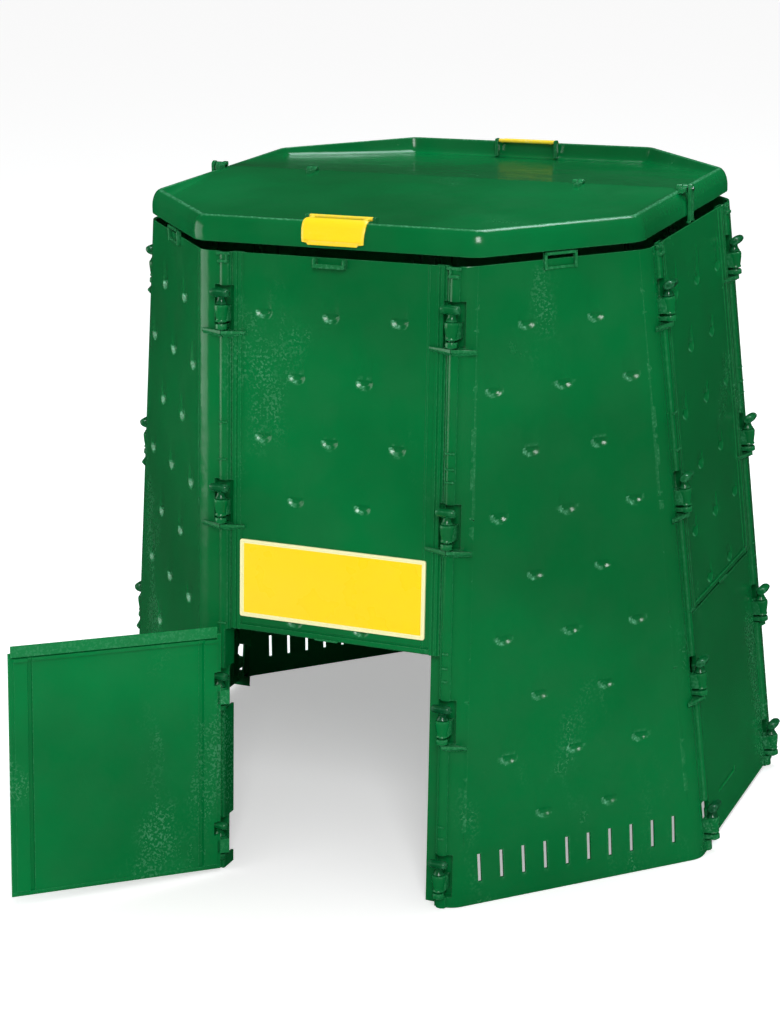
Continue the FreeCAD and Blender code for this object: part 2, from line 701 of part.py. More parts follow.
def turned(which):
    return Placement(Vector(), Rotation(Vector(0, 0, 1), 180 if which == "back" else 0))


def grip_ears(name):
    """The two ears on the rim's inner side that hold a grip's pin."""
    near = dim("grip_half") + dim("grip_gap")
    far = near + dim("grip_ear")
    root = dim("grip_ear_root")
    low_y, high_y = -rim_inner - root, -rim_inner + dim("grip_barrel_radius") * 2 + root
    low_z, high_z = lid_top - dim("dish_depth"), lid_top + dim("grip_ear_rise")
    return [box(f"{name}_grip_ear_{side}", (first, low_y, low_z), (last, high_y, high_z))
            for side, first, last in (("left", -far, -near), ("right", near, far))]


def grip_pin_holes(name, mirrored):
    frame = turned("back" if mirrored else "front")
    length = dim("grip_half") * 2 + dim("grip_ear") * 4
    return [rod(name + "_grip_bore", dim("grip_pin_radius") + dim("pin_clearance"), length,
                (-length / 2, grip_pivot_y, grip_pivot_z), (1, 0, 0), frame)]


def grip(which):
    """The cover over the middle of the rim, hung on a pin at its inner edge."""
    name = f"lid_{which}_grip"
    frame = turned(which)
    half, thick = dim("grip_half"), dim("grip_thickness")
    face_y = -lid_apothem - dim("grip_gap")
    top_z = lid_top + dim("grip_gap")
    nose_half = dim("nose_half")
    body = doc.addObject("PartDesign::Body", name + "_body")
    outline = rectangle(-half, face_y - thick, half, grip_pivot_y)
    pad(body, polygon_sketch(body, name + "_outline", outline, top_z - dim("grip_drop")),
        dim("grip_drop") + thick)
    doc.recompute()
    round_edges(body, front_top_edge(body.Shape), dim("rim_round") + thick)
    hollow = doc.addObject("PartDesign::Body", name + "_hollow")
    inner = rectangle(-half * 2, face_y, half * 2, grip_pivot_y / 2)
    pad(hollow, polygon_sketch(hollow, name + "_inside", inner, lid_low - OVERRUN), top_z - lid_low + OVERRUN)
    doc.recompute()
    round_edges(hollow, front_top_edge(hollow.Shape), dim("rim_round"))
    shell = cut(name + "_shell", body, [hollow])
    barrel = rod(name + "_barrel", dim("grip_barrel_radius"), half * 2, (-half, grip_pivot_y, grip_pivot_z),
                 (1, 0, 0))
    edge = top_z - dim("grip_drop")
    nose = box(name + "_nose", (-nose_half, face_y - thick, edge - dim("nose_drop")),
               (nose_half, face_y, edge + dim("nose_overlap")))
    bore_hole = rod(name + "_bore", dim("grip_pin_radius") + dim("pin_clearance"), (half + OVERRUN) * 2,
                    (-half - OVERRUN, grip_pivot_y, grip_pivot_z), (1, 0, 0))
    whole = cut(name, joined(name + "_whole", [shell, barrel, nose]), [bore_hole])
    return place(whole, frame)


def front_top_edge(shape):
    box_all = shape.BoundBox
    for i, edge in enumerate(shape.Edges, start=1):
        middle = edge.CenterOfMass
        if abs(middle.y - box_all.YMin) < 0.01 and abs(middle.z - box_all.ZMax) < 0.01:
            return [f"Edge{i}"]
    return []


def grip_pin(which):
    length = (dim("grip_half") + dim("grip_ear") + dim("grip_gap")) * 2
    return rod(f"lid_{which}_grip_pin", dim("grip_pin_radius"), length,
               (-length / 2, grip_pivot_y, grip_pivot_z), (1, 0, 0), turned(which))


# ---------------------------------------------------------------- the assembly

def pins_of(name, face, places):
    """One node of several loose pins on a face."""
    pins = [copied(f"{name}_{i}", one_pin, at(seam * side, up_slope(LEVELS[level]), 0))
            for i, (side, level) in enumerate(places)]
    return place(grouped(name, pins), face_frame(face))


one_pin = seam_pin()
one_door = door()
one_corner = corner_panel()
one_wall = wall_panel()
wall_with_keeper = joined("wall_with_keeper", [one_wall] + keeper("wall", Placement()))
for face in FACES:
    leaning = face_frame(face)
    following = FACES[(FACES.index(face) + 1) % 4]
    copied(face + "_wall_panel", wall_with_keeper if face in ("front", "back") else one_wall, leaning)
    copied(face + "_door", one_door, leaning * swing(DIMENSIONS["door_open_angle"] if face == "front" else 0))
    copied(f"{face}_{following}_corner_panel", one_corner, corner_frame(face))
    pins_of(face + "_seam_pins", face, [(side, level) for side in (-1, 1) for level in UPPER_LEVELS])
    pins_of(face + "_door_hinge_pins", face, [(-1, level) for level in DOOR_LEVELS])
    pins_of(face + "_door_latch_pins", face, [(1, level) for level in DOOR_LEVELS])
name_plate()
for which in ("front", "back"):
    lid_half(which)
    grip(which)
    grip_pin(which)
hinge_axles()
for side in ("left", "right"):
    hinge_ear(side)
doc.recompute()

NODES = [f"{face}{tail}" for face in FACES
         for tail in ("_wall_panel", "_door", "_seam_pins", "_door_hinge_pins", "_door_latch_pins")]
NODES += [f"{face}_{FACES[(i + 1) % 4]}_corner_panel" for i, face in enumerate(FACES)]
NODES += [f"lid_{which}_{tail}" for which in ("front", "back") for tail in ("half", "grip", "grip_pin")]
NODES += ["label_plate", "lid_end_axles", "lid_ridge_pins", "lid_hinge_ear_left", "lid_hinge_ear_right"]

for obj in doc.Objects:
    if "Invalid" in obj.State or "Error" in obj.State:
        raise RuntimeError(f"{obj.Name} failed: {obj.State}")
os.makedirs("parts", exist_ok=True)
for node in NODES:
    shape = doc.getObject(node).Shape
    if shape.isNull() or not shape.isValid() or not shape.Solids:
        raise RuntimeError(f"{node} has no sound shape")
    shape.exportStep(f"parts/{node}.step")
    print(node, len(shape.Solids), "solids", round(shape.Volume / 1000), "cm3")
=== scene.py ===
import math

import bmesh
import bpy
from mathutils import Matrix, Vector


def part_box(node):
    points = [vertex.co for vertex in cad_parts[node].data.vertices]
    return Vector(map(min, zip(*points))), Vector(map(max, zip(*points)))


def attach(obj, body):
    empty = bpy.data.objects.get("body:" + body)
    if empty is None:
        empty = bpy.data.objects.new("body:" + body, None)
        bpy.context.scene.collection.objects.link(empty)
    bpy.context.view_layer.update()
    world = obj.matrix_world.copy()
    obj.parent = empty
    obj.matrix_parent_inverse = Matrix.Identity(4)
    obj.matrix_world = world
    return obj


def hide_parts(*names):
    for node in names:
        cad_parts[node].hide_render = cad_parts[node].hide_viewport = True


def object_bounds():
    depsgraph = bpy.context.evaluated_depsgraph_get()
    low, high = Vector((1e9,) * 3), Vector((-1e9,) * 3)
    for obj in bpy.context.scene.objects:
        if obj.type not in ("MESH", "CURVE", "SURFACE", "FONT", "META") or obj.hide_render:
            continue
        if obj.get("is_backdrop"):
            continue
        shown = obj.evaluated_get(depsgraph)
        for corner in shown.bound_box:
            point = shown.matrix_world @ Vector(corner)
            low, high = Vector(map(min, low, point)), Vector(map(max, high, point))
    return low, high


# An eight-sided garden composter in moulded green plastic: four leaning walls over four door flaps,
# four corner panels wrapped round to the seams, T-headed pins down every seam, and a dished lid in two
# halves with yellow grips.  The front door stands open.  Metres, Z up, the front towards -Y.

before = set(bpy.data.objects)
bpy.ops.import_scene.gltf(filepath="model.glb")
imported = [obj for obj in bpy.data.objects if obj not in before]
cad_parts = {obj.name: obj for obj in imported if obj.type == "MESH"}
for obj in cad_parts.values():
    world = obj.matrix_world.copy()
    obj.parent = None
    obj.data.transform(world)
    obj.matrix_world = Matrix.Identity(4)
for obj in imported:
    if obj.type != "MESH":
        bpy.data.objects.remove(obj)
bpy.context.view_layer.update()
FACES = ("front", "right", "back", "left")

# Counts that the moulding fixes.
WALL_SCOOP_ROWS = 6
CORNER_SCOOP_ROWS = 9
SLOTS_EACH_SIDE = 5

# Heights of the small bars across a corner panel's two ribs, in metres.
RIB_BARS = {"front": (0.721, 0.697, 0.677, 0.411, 0.388, 0.367, 0.133, 0.114),
            "next": (0.735, 0.676, 0.412)}

# Half width of a corner panel's middle, where the grid stays upright while the panel narrows.
STEADY_HALF = 0.129

# The stretch over a pin's level where its cross bar passes a door's edge.
BAR_LOW, BAR_HIGH = 0.0215, 0.0435

# Widths over which a strip, a recess and a fine groove rise or fall.
FLANK = 0.0008
POCKET_FLANK = 0.0009
GROOVE_FLANK = 0.0005

# How pale the painted highlights on a vent's ledge and along the lid's crest are, where 1 is a plain worn
# outward edge.
LEDGE_HIGHLIGHT = 5.0
CREST_HIGHLIGHT = 3.2

bl_info = {
    "name": "Garden Composter",
    "version": (1, 0, 0),
    "blender": (4, 5, 0),
    "location": "3D View > Sidebar > Composter",
    "description": "Builds an eight-sided garden composter around its packed frame",
    "category": "Add Mesh",
}


def length(name, description, default):
    """A size in metres that the panel shows."""
    return bpy.props.FloatProperty(name=name, description=description, default=default, unit="LENGTH",
                                   precision=4)


def colour(name, description, default):
    """A colour as sRGB hex that the panel shows."""
    return bpy.props.StringProperty(name=name, description=description, default=default)


class BodySizes(bpy.types.PropertyGroup):
    """The leaning eight-sided body, its seams and its scooped vents."""
    height: length("Height", "Height of the body without its lid", 1.0)
    base_apothem: length("Base apothem", "From the middle to a main face, at the ground", 0.533)
    top_apothem: length("Top apothem", "From the middle to a main face, at the top edge", 0.432)
    half_face: length("Half face", "Half the width of a main face between its corners", 0.222)
    corner_radius: length("Corner radius", "Rounding of the upright corners in plan", 0.04)
    wall: length("Wall", "Thickness of the plastic", 0.004)
    seam_left: length("Left seam", "Pin line at a face's left", 0.182)
    seam_right: length("Right seam", "Pin line at a face's right", 0.203)
    seam_step: length("Seam step", "From a pin line to the edge of the wall panel", 0.0125)
    seam_gap: length("Seam gap", "Open joint between a wall and a corner panel", 0.0012)
    rib_half: length("Rib half width", "Half width of the upright rib under the pins", 0.0085)
    rib_height: length("Rib height", "How far the rib stands out", 0.0055)
    lap_depth: length("Lap depth", "How far the corner's lap lies behind the wall's face", 0.0052)
    lap_reach: length("Lap reach", "How far the lap runs behind the wall", 0.02)
    jamb_depth: length("Jamb depth", "Depth of the rabbet beside the doorway", 0.013)
    jamb_clear: length("Jamb clearance", "From a pin line to the jamb beside a door's hinge", 0.0038)
    scoop_radius: length("Scoop radius", "Radius of a scooped vent", 0.0155)
    scoop_length: length("Scoop length", "Length of a scooped vent", 0.072)
    scoop_depth: length("Scoop depth", "Depth of a scoop at its foot", 0.0045)
    scoop_ledge: length("Scoop ledge", "Width of the slope round a scoop's foot", 0.0068)
    scoop_pitch: length("Scoop pitch", "Distance between scoops in a row", 0.114)
    scoop_row: length("Scoop row", "Distance between rows of scoops", 0.097)
    top_scoop_drop: length("Top scoop drop", "From the top edge to the first row of scoops", 0.086)
    slot_width: length("Slot width", "Width of an air slot at a corner's foot", 0.006)
    slot_height: length("Slot height", "Height of an air slot", 0.046)
    slot_level: length("Slot level", "Height of the slots over the ground", 0.037)
    slot_pitch: length("Slot pitch", "Distance between the slots", 0.0378)


class DoorSizes(bpy.types.PropertyGroup):
    """The door flaps."""
    top: length("Door top", "Height of the joint between wall and door", 0.402)
    gap: length("Door gap", "Open joint over a door", 0.004)
    ground_gap: length("Ground gap", "Space under a door", 0.007)
    left: length("Left edge", "Left edge of a door", 0.1775)
    right: length("Right edge", "Right edge of a door", 0.1675)
    angle: bpy.props.FloatProperty(name="Opening", description="How far the front door stands open",
                                   default=math.radians(132), subtype="ANGLE")
    tongue: length("Tongue", "How far the tongue on a door's top reaches up behind the wall", 0.0125)
    notch: length("Notch", "Depth of the notch beside a pin's cross bar", 0.0125)
    margin: length("Margin", "Flat margin round the inner face", 0.008)
    border: length("Border", "Width of the raised strips on the inner face", 0.021)
    border_height: length("Border height", "How far the strips stand up", 0.0032)
    groove: length("Groove", "Width of the groove beside a strip", 0.0075)
    finger_width: length("Finger mark width", "Width of the finger mark on the outer face", 0.092)
    finger_height: length("Finger mark height", "Height of the finger mark", 0.009)
    finger_level: length("Finger mark level", "Height of the finger mark over the ground", 0.068)
    finger_shift: length("Finger mark shift", "How far left of the middle the finger mark is", 0.057)


class PinSizes(bpy.types.PropertyGroup):
    """The T-headed pins, their knuckles and the shelves under them."""
    offset: length("Offset", "From a face to the line of its pins", 0.011)
    radius: length("Radius", "Radius of a pin's shaft", 0.0045)
    level_top: length("Top level", "Height of the highest pins", 0.905)
    level_upper: length("Upper level", "Height of the second pins", 0.6)
    level_lower: length("Lower level", "Height of the third pins", 0.294)
    level_foot: length("Foot level", "Height of the lowest pins", 0.044)
    pocket_half: length("Pocket half width", "Half width of the recess round a pin", 0.0165)
    pocket_low: length("Pocket foot", "From a pin's level down to the foot of its recess", 0.0255)
    pocket_high: length("Pocket head", "From a pin's level up to the head of its recess", 0.0425)
    pocket_depth: length("Pocket depth", "Depth of the recess", 0.0105)
    root: length("Root", "How far a knuckle's root reaches behind a face", 0.0115)
    shelf_half: length("Shelf half width", "Half width of the shelf under a pin", 0.038)
    shelf_reach: length("Shelf reach", "How far a shelf stands out", 0.0155)
    shelf_thickness: length("Shelf thickness", "Thickness of a shelf", 0.0055)


class LidSizes(bpy.types.PropertyGroup):
    """The two halves of the lid, their hinge and their grips."""
    apothem: length("Apothem", "From the middle to the rim's outside", 0.425)
    half_edge: length("Half edge", "Half the length of the rim's main sides", 0.235)
    low: length("Underside", "Height of the rim's lower edge", 1.012)
    top: length("Top", "Height of the rim's crest", 1.054)
    corner_radius: length("Corner radius", "Rounding of the rim in plan", 0.042)
    round: length("Rounding", "Width of the rim's rounded outside", 0.0155)
    skirt: length("Skirt", "Height of the upright skirt under the rounding", 0.009)
    crest: length("Crest", "Width of the flat on the crest", 0.0015)
    crest_drop: length("Crest drop", "From the ridge down to the crest", 0.003)
    rim: length("Rim", "From the rim's outside to the foot of its inner slope", 0.04)
    dish: length("Dish", "Depth of the dish at its edge", 0.03)
    shell: length("Shell", "Thickness of the lid", 0.0035)
    ridge_gap: length("Ridge gap", "Open joint along the ridge", 0.001)
    barrel_radius: length("Barrel radius", "Radius of the hinge barrels", 0.0065)
    barrel: length("Barrel", "Length of a hinge barrel", 0.009)
    barrel_gap: length("Barrel gap", "Space between two barrels", 0.0006)
    ridge_barrel: length("Ridge barrel", "Place of the inner hinge along the ridge", 0.24)
    axle_radius: length("Axle radius", "Radius of the hinge's axles", 0.003)
    grip_half: length("Grip half width", "Half width of a grip", 0.053)
    grip_drop: length("Grip drop", "From the crest down to a grip's lower edge", 0.034)
    grip_thickness: length("Grip thickness", "Thickness of a grip", 0.0036)
    grip_over: length("Grip height", "How far a grip stands over the rim", 0.0044)
    grip_pivot: length("Grip pivot", "From the middle to a grip's pin", 0.3924)


class PlateSizes(bpy.types.PropertyGroup):
    """The bare plate on the front."""
    left: length("Left", "Left edge", -0.152)
    right: length("Right", "Right edge", 0.166)
    level: length("Level", "Height of the lower edge", 0.427)
    height: length("Height", "Height of the plate up the wall", 0.125)
    thickness: length("Thickness", "Thickness of the plate", 0.003)
    rim: length("Rim", "Width of the raised rim", 0.0052)


class Colours(bpy.types.PropertyGroup):
    """Colours as sRGB hex."""
    green: colour("Green", "Moulded body plastic", "007036")
    green_dark: colour("Dark green", "Shaded patches of the body plastic", "00622E")
    # The light green paints scuffs and worn edges, and also the painted highlights on the vents' ledges and
    # the lid's crest.
    green_scuffs_and_highlights: colour("Light green", "Scuffs and rubbed edges", "63B488")
    # Painted light: the door green is a lighter copy of the body green, used only for the open front door, for
    # the brighter light on its face.
    door: colour("Door green", "Plastic of the doors, less weathered than the body", "008442")
    pin: colour("Pin green", "Pins", "004A26")
    lid: colour("Lid green", "Lid plastic", "00743A")
    yellow: colour("Yellow", "Grips", "FFDC20")
    plate: colour("Plate yellow", "Plate", "FFDA00")
    rim: colour("Pale rim", "Raised rim of the plate", "F6F2B8")
    steel: colour("Steel", "Hinge pins of the lid", "C8CACC")
    floor: colour("Floor", "Ground under the composter", "F4F4F4")


# ---------------------------------------------------------------- colours and shader nodes

def to_linear(code):
    """An sRGB hex colour as linear RGBA."""
    channels = [int(code[i:i + 2], 16) / 255 for i in (0, 2, 4)]
    return [c / 12.92 if c <= 0.04045 else ((c + 0.055) / 1.055) ** 2.4 for c in channels] + [1.0]


def add_node(tree, kind, settings=None, **inputs):
    """A shader node with its settings, and its inputs given as values or as sockets to link from."""
    made = tree.nodes.new("ShaderNode" + kind)
    for key, value in (settings or {}).items():
        setattr(made, key, value)
    for key, value in inputs.items():
        socket = made.inputs[int(key[1:])] if key[1:].isdigit() else made.inputs[key.replace("_", " ")]
        if isinstance(value, bpy.types.NodeSocket):
            tree.links.new(value, socket)
        else:
            socket.default_value = value
    return made


def ramp(tree, value, low, high, start=0.0, end=1.0):
    """A smooth step of a value between two levels."""
    made = add_node(tree, "MapRange", {"interpolation_type": "SMOOTHSTEP"}, Value=value, From_Min=low,
                    From_Max=high, To_Min=start, To_Max=end)
    return made.outputs["Result"]


def math_of(tree, operation, first, second):
    """Two values, or sockets, through one operation."""
    return add_node(tree, "Math", {"operation": operation}, i0=first, i1=second).outputs[0]


def mixed(tree, factor, first, second):
    """A colour between two, by a factor."""
    made = add_node(tree, "Mix", {"data_type": "RGBA"}, i0=factor, i6=first, i7=second)
    return made.outputs[2]


def noise(tree, place, scale, detail=2.0, roughness=0.5):
    """A noise pattern at a scale in repeats to a metre."""
    made = add_node(tree, "TexNoise", None, Vector=place, Scale=scale, Detail=detail, Roughness=roughness)
    return made.outputs["Fac"]


def new_material(name):
    """An empty material, with its shader and the object's own coordinates in metres."""
    material = bpy.data.materials.new(name)
    material.use_nodes = True
    tree = material.node_tree
    tree.nodes.clear()
    output = add_node(tree, "OutputMaterial")
    shader = add_node(tree, "BsdfPrincipled")
    tree.links.new(shader.outputs[0], output.inputs["Surface"])
    place = add_node(tree, "TexCoord").outputs["Object"]
    return material, tree, shader, place


# Pattern scales, in repeats to a metre.
CLOUDS = 2.6     # clouds in the colour, about 400 mm across
DRIFTS = 5.5     # drifts of scuffs, about 180 mm across
DULLNESS = 14    # patches that are duller, about 70 mm across
WAVES = 26       # shallow waves that moulded sheet keeps, about 40 mm long
PEEL = 150       # orange peel: about 1 mm on the real skin, drawn at 7 mm so that it shows
GRAIN = 230      # single scuffs: under 1 mm on the real skin, drawn at 4 mm so that they show
PEEL_DEPTH = 0.00014
WAVE_DEPTH = 0.0011


def moulded(name, base, dark, light, gloss=0.17, speckle=1.0, scuffs=1.0):
    """Injection-moulded polypropylene: a glossy skin whose orange peel breaks lights into specks, with
    cloudy colour, pale scuffs in drifts, edges worn pale, and painted highlights on the vents' ledges and the
    lid's crest."""
    material, tree, shader, place = new_material(name)
    cloud = noise(tree, place, CLOUDS, 3.0)
    tint = mixed(tree, ramp(tree, cloud, 0.32, 0.68), to_linear(dark), to_linear(base))
    stretched = add_node(tree, "Mapping", None, Vector=place, Location=(0.072, 0.0, -0.049),
                         Rotation=(0.5, 0.6, 0.0), Scale=(1.0, 1.0, 0.45)).outputs[0]
    drift = ramp(tree, noise(tree, stretched, DRIFTS, 4.0, 0.62), 0.56, 0.74)
    grain = ramp(tree, noise(tree, place, GRAIN, 2.0, 0.6), 0.47, 0.66)
    scuff = math_of(tree, "MULTIPLY", math_of(tree, "MULTIPLY", drift, grain), 0.34 * scuffs)
    tint = mixed(tree, scuff, tint, to_linear(light))
    # This layer holds the worn edges and also painted highlights: pale crescents on the vents' ledges and a
    # pale line along the lid's crest.
    wear_and_highlight_share = add_node(tree, "Attribute", {"attribute_name": "wear_and_highlight"}).outputs["Fac"]
    uneven = math_of(tree, "ADD", 0.06, math_of(tree, "MULTIPLY", grain, 0.15))
    rubbed_and_highlit = math_of(tree, "MULTIPLY", wear_and_highlight_share, uneven)
    tint = mixed(tree, rubbed_and_highlit, tint, to_linear(light))
    tree.links.new(tint, shader.inputs["Base Color"])
    rough = math_of(tree, "ADD", ramp(tree, noise(tree, place, DULLNESS, 3.0), 0.3, 0.7, gloss, gloss + 0.1),
                    math_of(tree, "MULTIPLY", scuff, 0.5))
    tree.links.new(rough, shader.inputs["Roughness"])
    shader.inputs["IOR"].default_value = 1.49
    peel = noise(tree, place, PEEL, 2.0, 0.55)
    waves = noise(tree, place, WAVES, 2.0)
    height = math_of(tree, "ADD", math_of(tree, "MULTIPLY", peel, PEEL_DEPTH * speckle),
                     math_of(tree, "MULTIPLY", waves, WAVE_DEPTH))
    bump = add_node(tree, "Bump", None, Strength=1.0, Distance=1.0, Height=height)
    tree.links.new(bump.outputs[0], shader.inputs["Normal"])
    return material


def brushed_steel(name, code):
    """Drawn steel rod: bright metal with fine lengthwise streaks."""
    material, tree, shader, place = new_material(name)
    streaked = add_node(tree, "Mapping", None, Vector=place, Scale=(12.0, 1400.0, 1400.0)).outputs[0]
    streaks = noise(tree, streaked, 1.0, 2.0)
    shader.inputs["Base Color"].default_value = to_linear(code)
    shader.inputs["Metallic"].default_value = 1.0
    tree.links.new(ramp(tree, streaks, 0.3, 0.7, 0.22, 0.4), shader.inputs["Roughness"])
    return material


FLOOR_GLOW = 0.42        # how far the floor is lifted to white for the camera
FLOOR_UNSEEN = 0.98      # share of the floor that glossy skins don't show


def matt_floor(name, code):
    """Seamless studio floor: matt and even, lifted to white, so that only the shadow shows."""
    material, tree, shader, _ = new_material(name)
    shader.inputs["Roughness"].default_value = 0.9
    shader.inputs["Specular IOR Level"].default_value = 0.1
    path = add_node(tree, "LightPath")
    seen = path.outputs["Is Camera Ray"]
    unseen = math_of(tree, "MULTIPLY", path.outputs["Is Glossy Ray"], FLOOR_UNSEEN)
    tree.links.new(mixed(tree, unseen, to_linear(code), to_linear("000000")), shader.inputs["Base Color"])
    shader.inputs["Emission Color"].default_value = (1.0, 1.0, 1.0, 1.0)
    tree.links.new(math_of(tree, "MULTIPLY", seen, FLOOR_GLOW), shader.inputs["Emission Strength"])
    return material


MATERIALS = {}


def make_materials(colours):
    """Every material of the composter, named for its plastic or metal."""
    MATERIALS["body"] = moulded("moulded_polypropylene_green", colours.green, colours.green_dark,
                                colours.green_scuffs_and_highlights)
    # Painted light: the open front door gets a lighter, more scuffed copy of the body plastic.
    MATERIALS["door"] = moulded("moulded_polypropylene_door_green_painted_lighter", colours.door, colours.green,
                                colours.green_scuffs_and_highlights, scuffs=1.2)
    MATERIALS["pin"] = moulded("moulded_nylon_dark_green", colours.pin, colours.green_dark,
                               colours.green_scuffs_and_highlights, gloss=0.15, speckle=0.3, scuffs=0.4)
    MATERIALS["lid"] = moulded("moulded_polypropylene_lid_green", colours.lid, colours.green_dark,
                               colours.green_scuffs_and_highlights, gloss=0.16, speckle=0.35, scuffs=0.35)
    MATERIALS["grip"] = moulded("moulded_polypropylene_yellow", colours.yellow, colours.plate, colours.rim,
                                gloss=0.28, speckle=0.5, scuffs=0.6)
    MATERIALS["plate"] = moulded("moulded_polystyrene_plate_yellow", colours.plate, colours.yellow,
                                 colours.rim, gloss=0.24, speckle=0.15, scuffs=0.3)
    MATERIALS["rim"] = moulded("moulded_polystyrene_pale_rim", colours.rim, colours.rim, colours.rim,
                               gloss=0.3, speckle=0.15, scuffs=0.0)
    MATERIALS["steel"] = brushed_steel("drawn_steel_rod", colours.steel)


# ---------------------------------------------------------------- mesh building blocks

def merged(values, least=0.0004):
    """Sorted grid lines, with those that nearly touch made one."""
    kept = []
    for value in sorted(values):
        if not kept or value - kept[-1] >= least:
            kept.append(value)
    return kept


def spread(start, end, pitch):
    """Even steps from start to end, about a pitch apart."""
    count = max(1, round((end - start) / pitch))
    return [start + (end - start) * i / count for i in range(count + 1)]


def sheet(columns, rows, shape, holes=(), wear_and_highlight=None):
    """A grid with its lines at the given columns and rows, each corner moved to shape(column, row)."""
    part = bmesh.new()
    layer = part.verts.layers.float.new("wear_and_highlight")
    across, up = len(columns) - 1, len(rows) - 1
    bmesh.ops.create_grid(part, x_segments=across, y_segments=up, size=1)
    lines = {}
    for vertex in part.verts:
        lines[vertex] = (round((vertex.co.x + 1) / 2 * across), round((vertex.co.y + 1) / 2 * up))
    gone = []
    for face in part.faces:
        x = sum(columns[lines[v][0]] for v in face.verts) / len(face.verts)
        y = sum(rows[lines[v][1]] for v in face.verts) / len(face.verts)
        if any(x0 < x < x1 and y0 < y < y1 for x0, x1, y0, y1 in holes):
            gone.append(face)
    for vertex, (i, j) in lines.items():
        vertex.co = shape(columns[i], rows[j])
        vertex[layer] = wear_and_highlight(columns[i], rows[j]) if wear_and_highlight else 0.0
    if gone:
        bmesh.ops.delete(part, geom=gone, context="FACES")
    return part


def thickened(part, thickness):
    """The sheet given a thickness behind its face."""
    part.normal_update()
    made = bmesh.ops.extrude_face_region(part, geom=part.faces[:], use_keep_orig=True)["geom"]
    for vertex in made:
        if isinstance(vertex, bmesh.types.BMVert):
            vertex.co -= vertex.normal * thickness
    bmesh.ops.recalc_face_normals(part, faces=part.faces)
    return part


def block(low, high, rounding=0.001, segments=2):
    """A bar between two corners with its edges rounded."""
    part = bmesh.new()
    bmesh.ops.create_cube(part, size=1)
    size = Vector(high) - Vector(low)
    bmesh.ops.scale(part, vec=size, verts=part.verts)
    bmesh.ops.translate(part, vec=(Vector(high) + Vector(low)) / 2, verts=part.verts)
    bmesh.ops.bevel(part, geom=part.edges[:], offset=min(rounding, min(size) * 0.45), segments=segments,
                    profile=0.5, affect="EDGES", material=-1)
    return part


def lathe(profile, steps=24):
    """A profile of (radius, height) points turned round Z."""
    part = bmesh.new()
    points = [part.verts.new((radius, 0, height)) for radius, height in profile]
    edges = [part.edges.new(pair) for pair in zip(points, points[1:])]
    bmesh.ops.spin(part, geom=points + edges, cent=(0, 0, 0), axis=(0, 0, 1), angle=2 * math.pi,
                   steps=steps, use_merge=True)
    bmesh.ops.remove_doubles(part, verts=part.verts, dist=1e-6)
    bmesh.ops.recalc_face_normals(part, faces=part.faces)
    return part


def rod(radius, start, end, rounding=0.0008, steps=24):
    """A round bar between two points with rounded ends."""
    span = Vector(end) - Vector(start)
    size = span.length
    middle = rounding * 0.3
    part = lathe([(0, 0), (radius - rounding, 0), (radius - middle, middle), (radius, rounding),
                  (radius, size - rounding), (radius - middle, size - middle), (radius - rounding, size),
                  (0, size)], steps)
    turn = Vector((0, 0, 1)).rotation_difference(span).to_matrix().to_4x4()
    bmesh.ops.transform(part, matrix=Matrix.Translation(start) @ turn, verts=part.verts)
    return part


def put(target, part, matrix=None):
    """Add a part to a piece, through a matrix."""
    if matrix is not None:
        bmesh.ops.transform(part, matrix=matrix, verts=part.verts)
    mesh = bpy.data.meshes.new("part")
    part.to_mesh(mesh)
    part.free()
    target.from_mesh(mesh)
    bpy.data.meshes.remove(mesh)


def mark_wear(piece, least_angle=0.35, reach=0.007):
    """Mark the outward edges, where hands and soil rub the skin, with the marks held within a reach."""
    layer = piece.verts.layers.float.get("wear_and_highlight") or piece.verts.layers.float.new("wear_and_highlight")
    outward = {vertex for edge in piece.edges if len(edge.link_faces) == 2
               and edge.calc_face_angle_signed(0.0) > least_angle for vertex in edge.verts}
    for vertex in outward:
        if all(edge.calc_length() < reach or edge.other_vert(vertex) in outward
               for edge in vertex.link_edges):
            vertex[layer] = max(vertex[layer], 1.0)


def finished(name, piece, material, body, nodes, turn=0, angle=32):
    """The piece as an object that rides on its body and stands for its nodes."""
    mark_wear(piece)
    mesh = bpy.data.meshes.new(name)
    piece.to_mesh(mesh)
    mesh.transform(Matrix.Rotation(math.radians(90 * turn), 4, "Z"))
    for polygon in mesh.polygons:
        polygon.use_smooth = True
    mesh.set_sharp_from_angle(angle=math.radians(angle))
    made = bpy.data.objects.new(name, mesh)
    bpy.context.scene.collection.objects.link(made)
    for each in material if isinstance(material, list) else [material]:
        mesh.materials.append(each)
    weighted = made.modifiers.new("weighted", "WEIGHTED_NORMAL")
    weighted.keep_sharp = True
    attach(made, body)
    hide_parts(*nodes)
    return made


# ---------------------------------------------------------------- shared measures of the body

def lean_of(body):
    """The angle that a main face leans in by."""
    return math.atan2(body.base_apothem - body.top_apothem, body.height)


def right_seam(body, turn):
    """The pin line at a face's right: near the corner on the front and the back only."""
    return body.seam_left if turn % 2 else body.seam_right


def slope_of(body):
    """Length of a main face up its slope."""
    return body.height / math.cos(lean_of(body))


def face_matrix(body):
    """From a front face's own frame (x along, y up the slope, z out) to the model's."""
    return (Matrix.Translation((0, -body.base_apothem, 0))
            @ Matrix.Rotation(math.pi / 2 - lean_of(body), 4, "X"))


def next_turn(matrix):
    """The same place on the next face round."""
    return Matrix.Rotation(math.pi / 2, 4, "Z") @ matrix


def levels_of(body, pins):
    """Distances up the slope of the four levels of pins."""
    return [level / math.cos(lean_of(body))
            for level in (pins.level_top, pins.level_upper, pins.level_lower, pins.level_foot)]


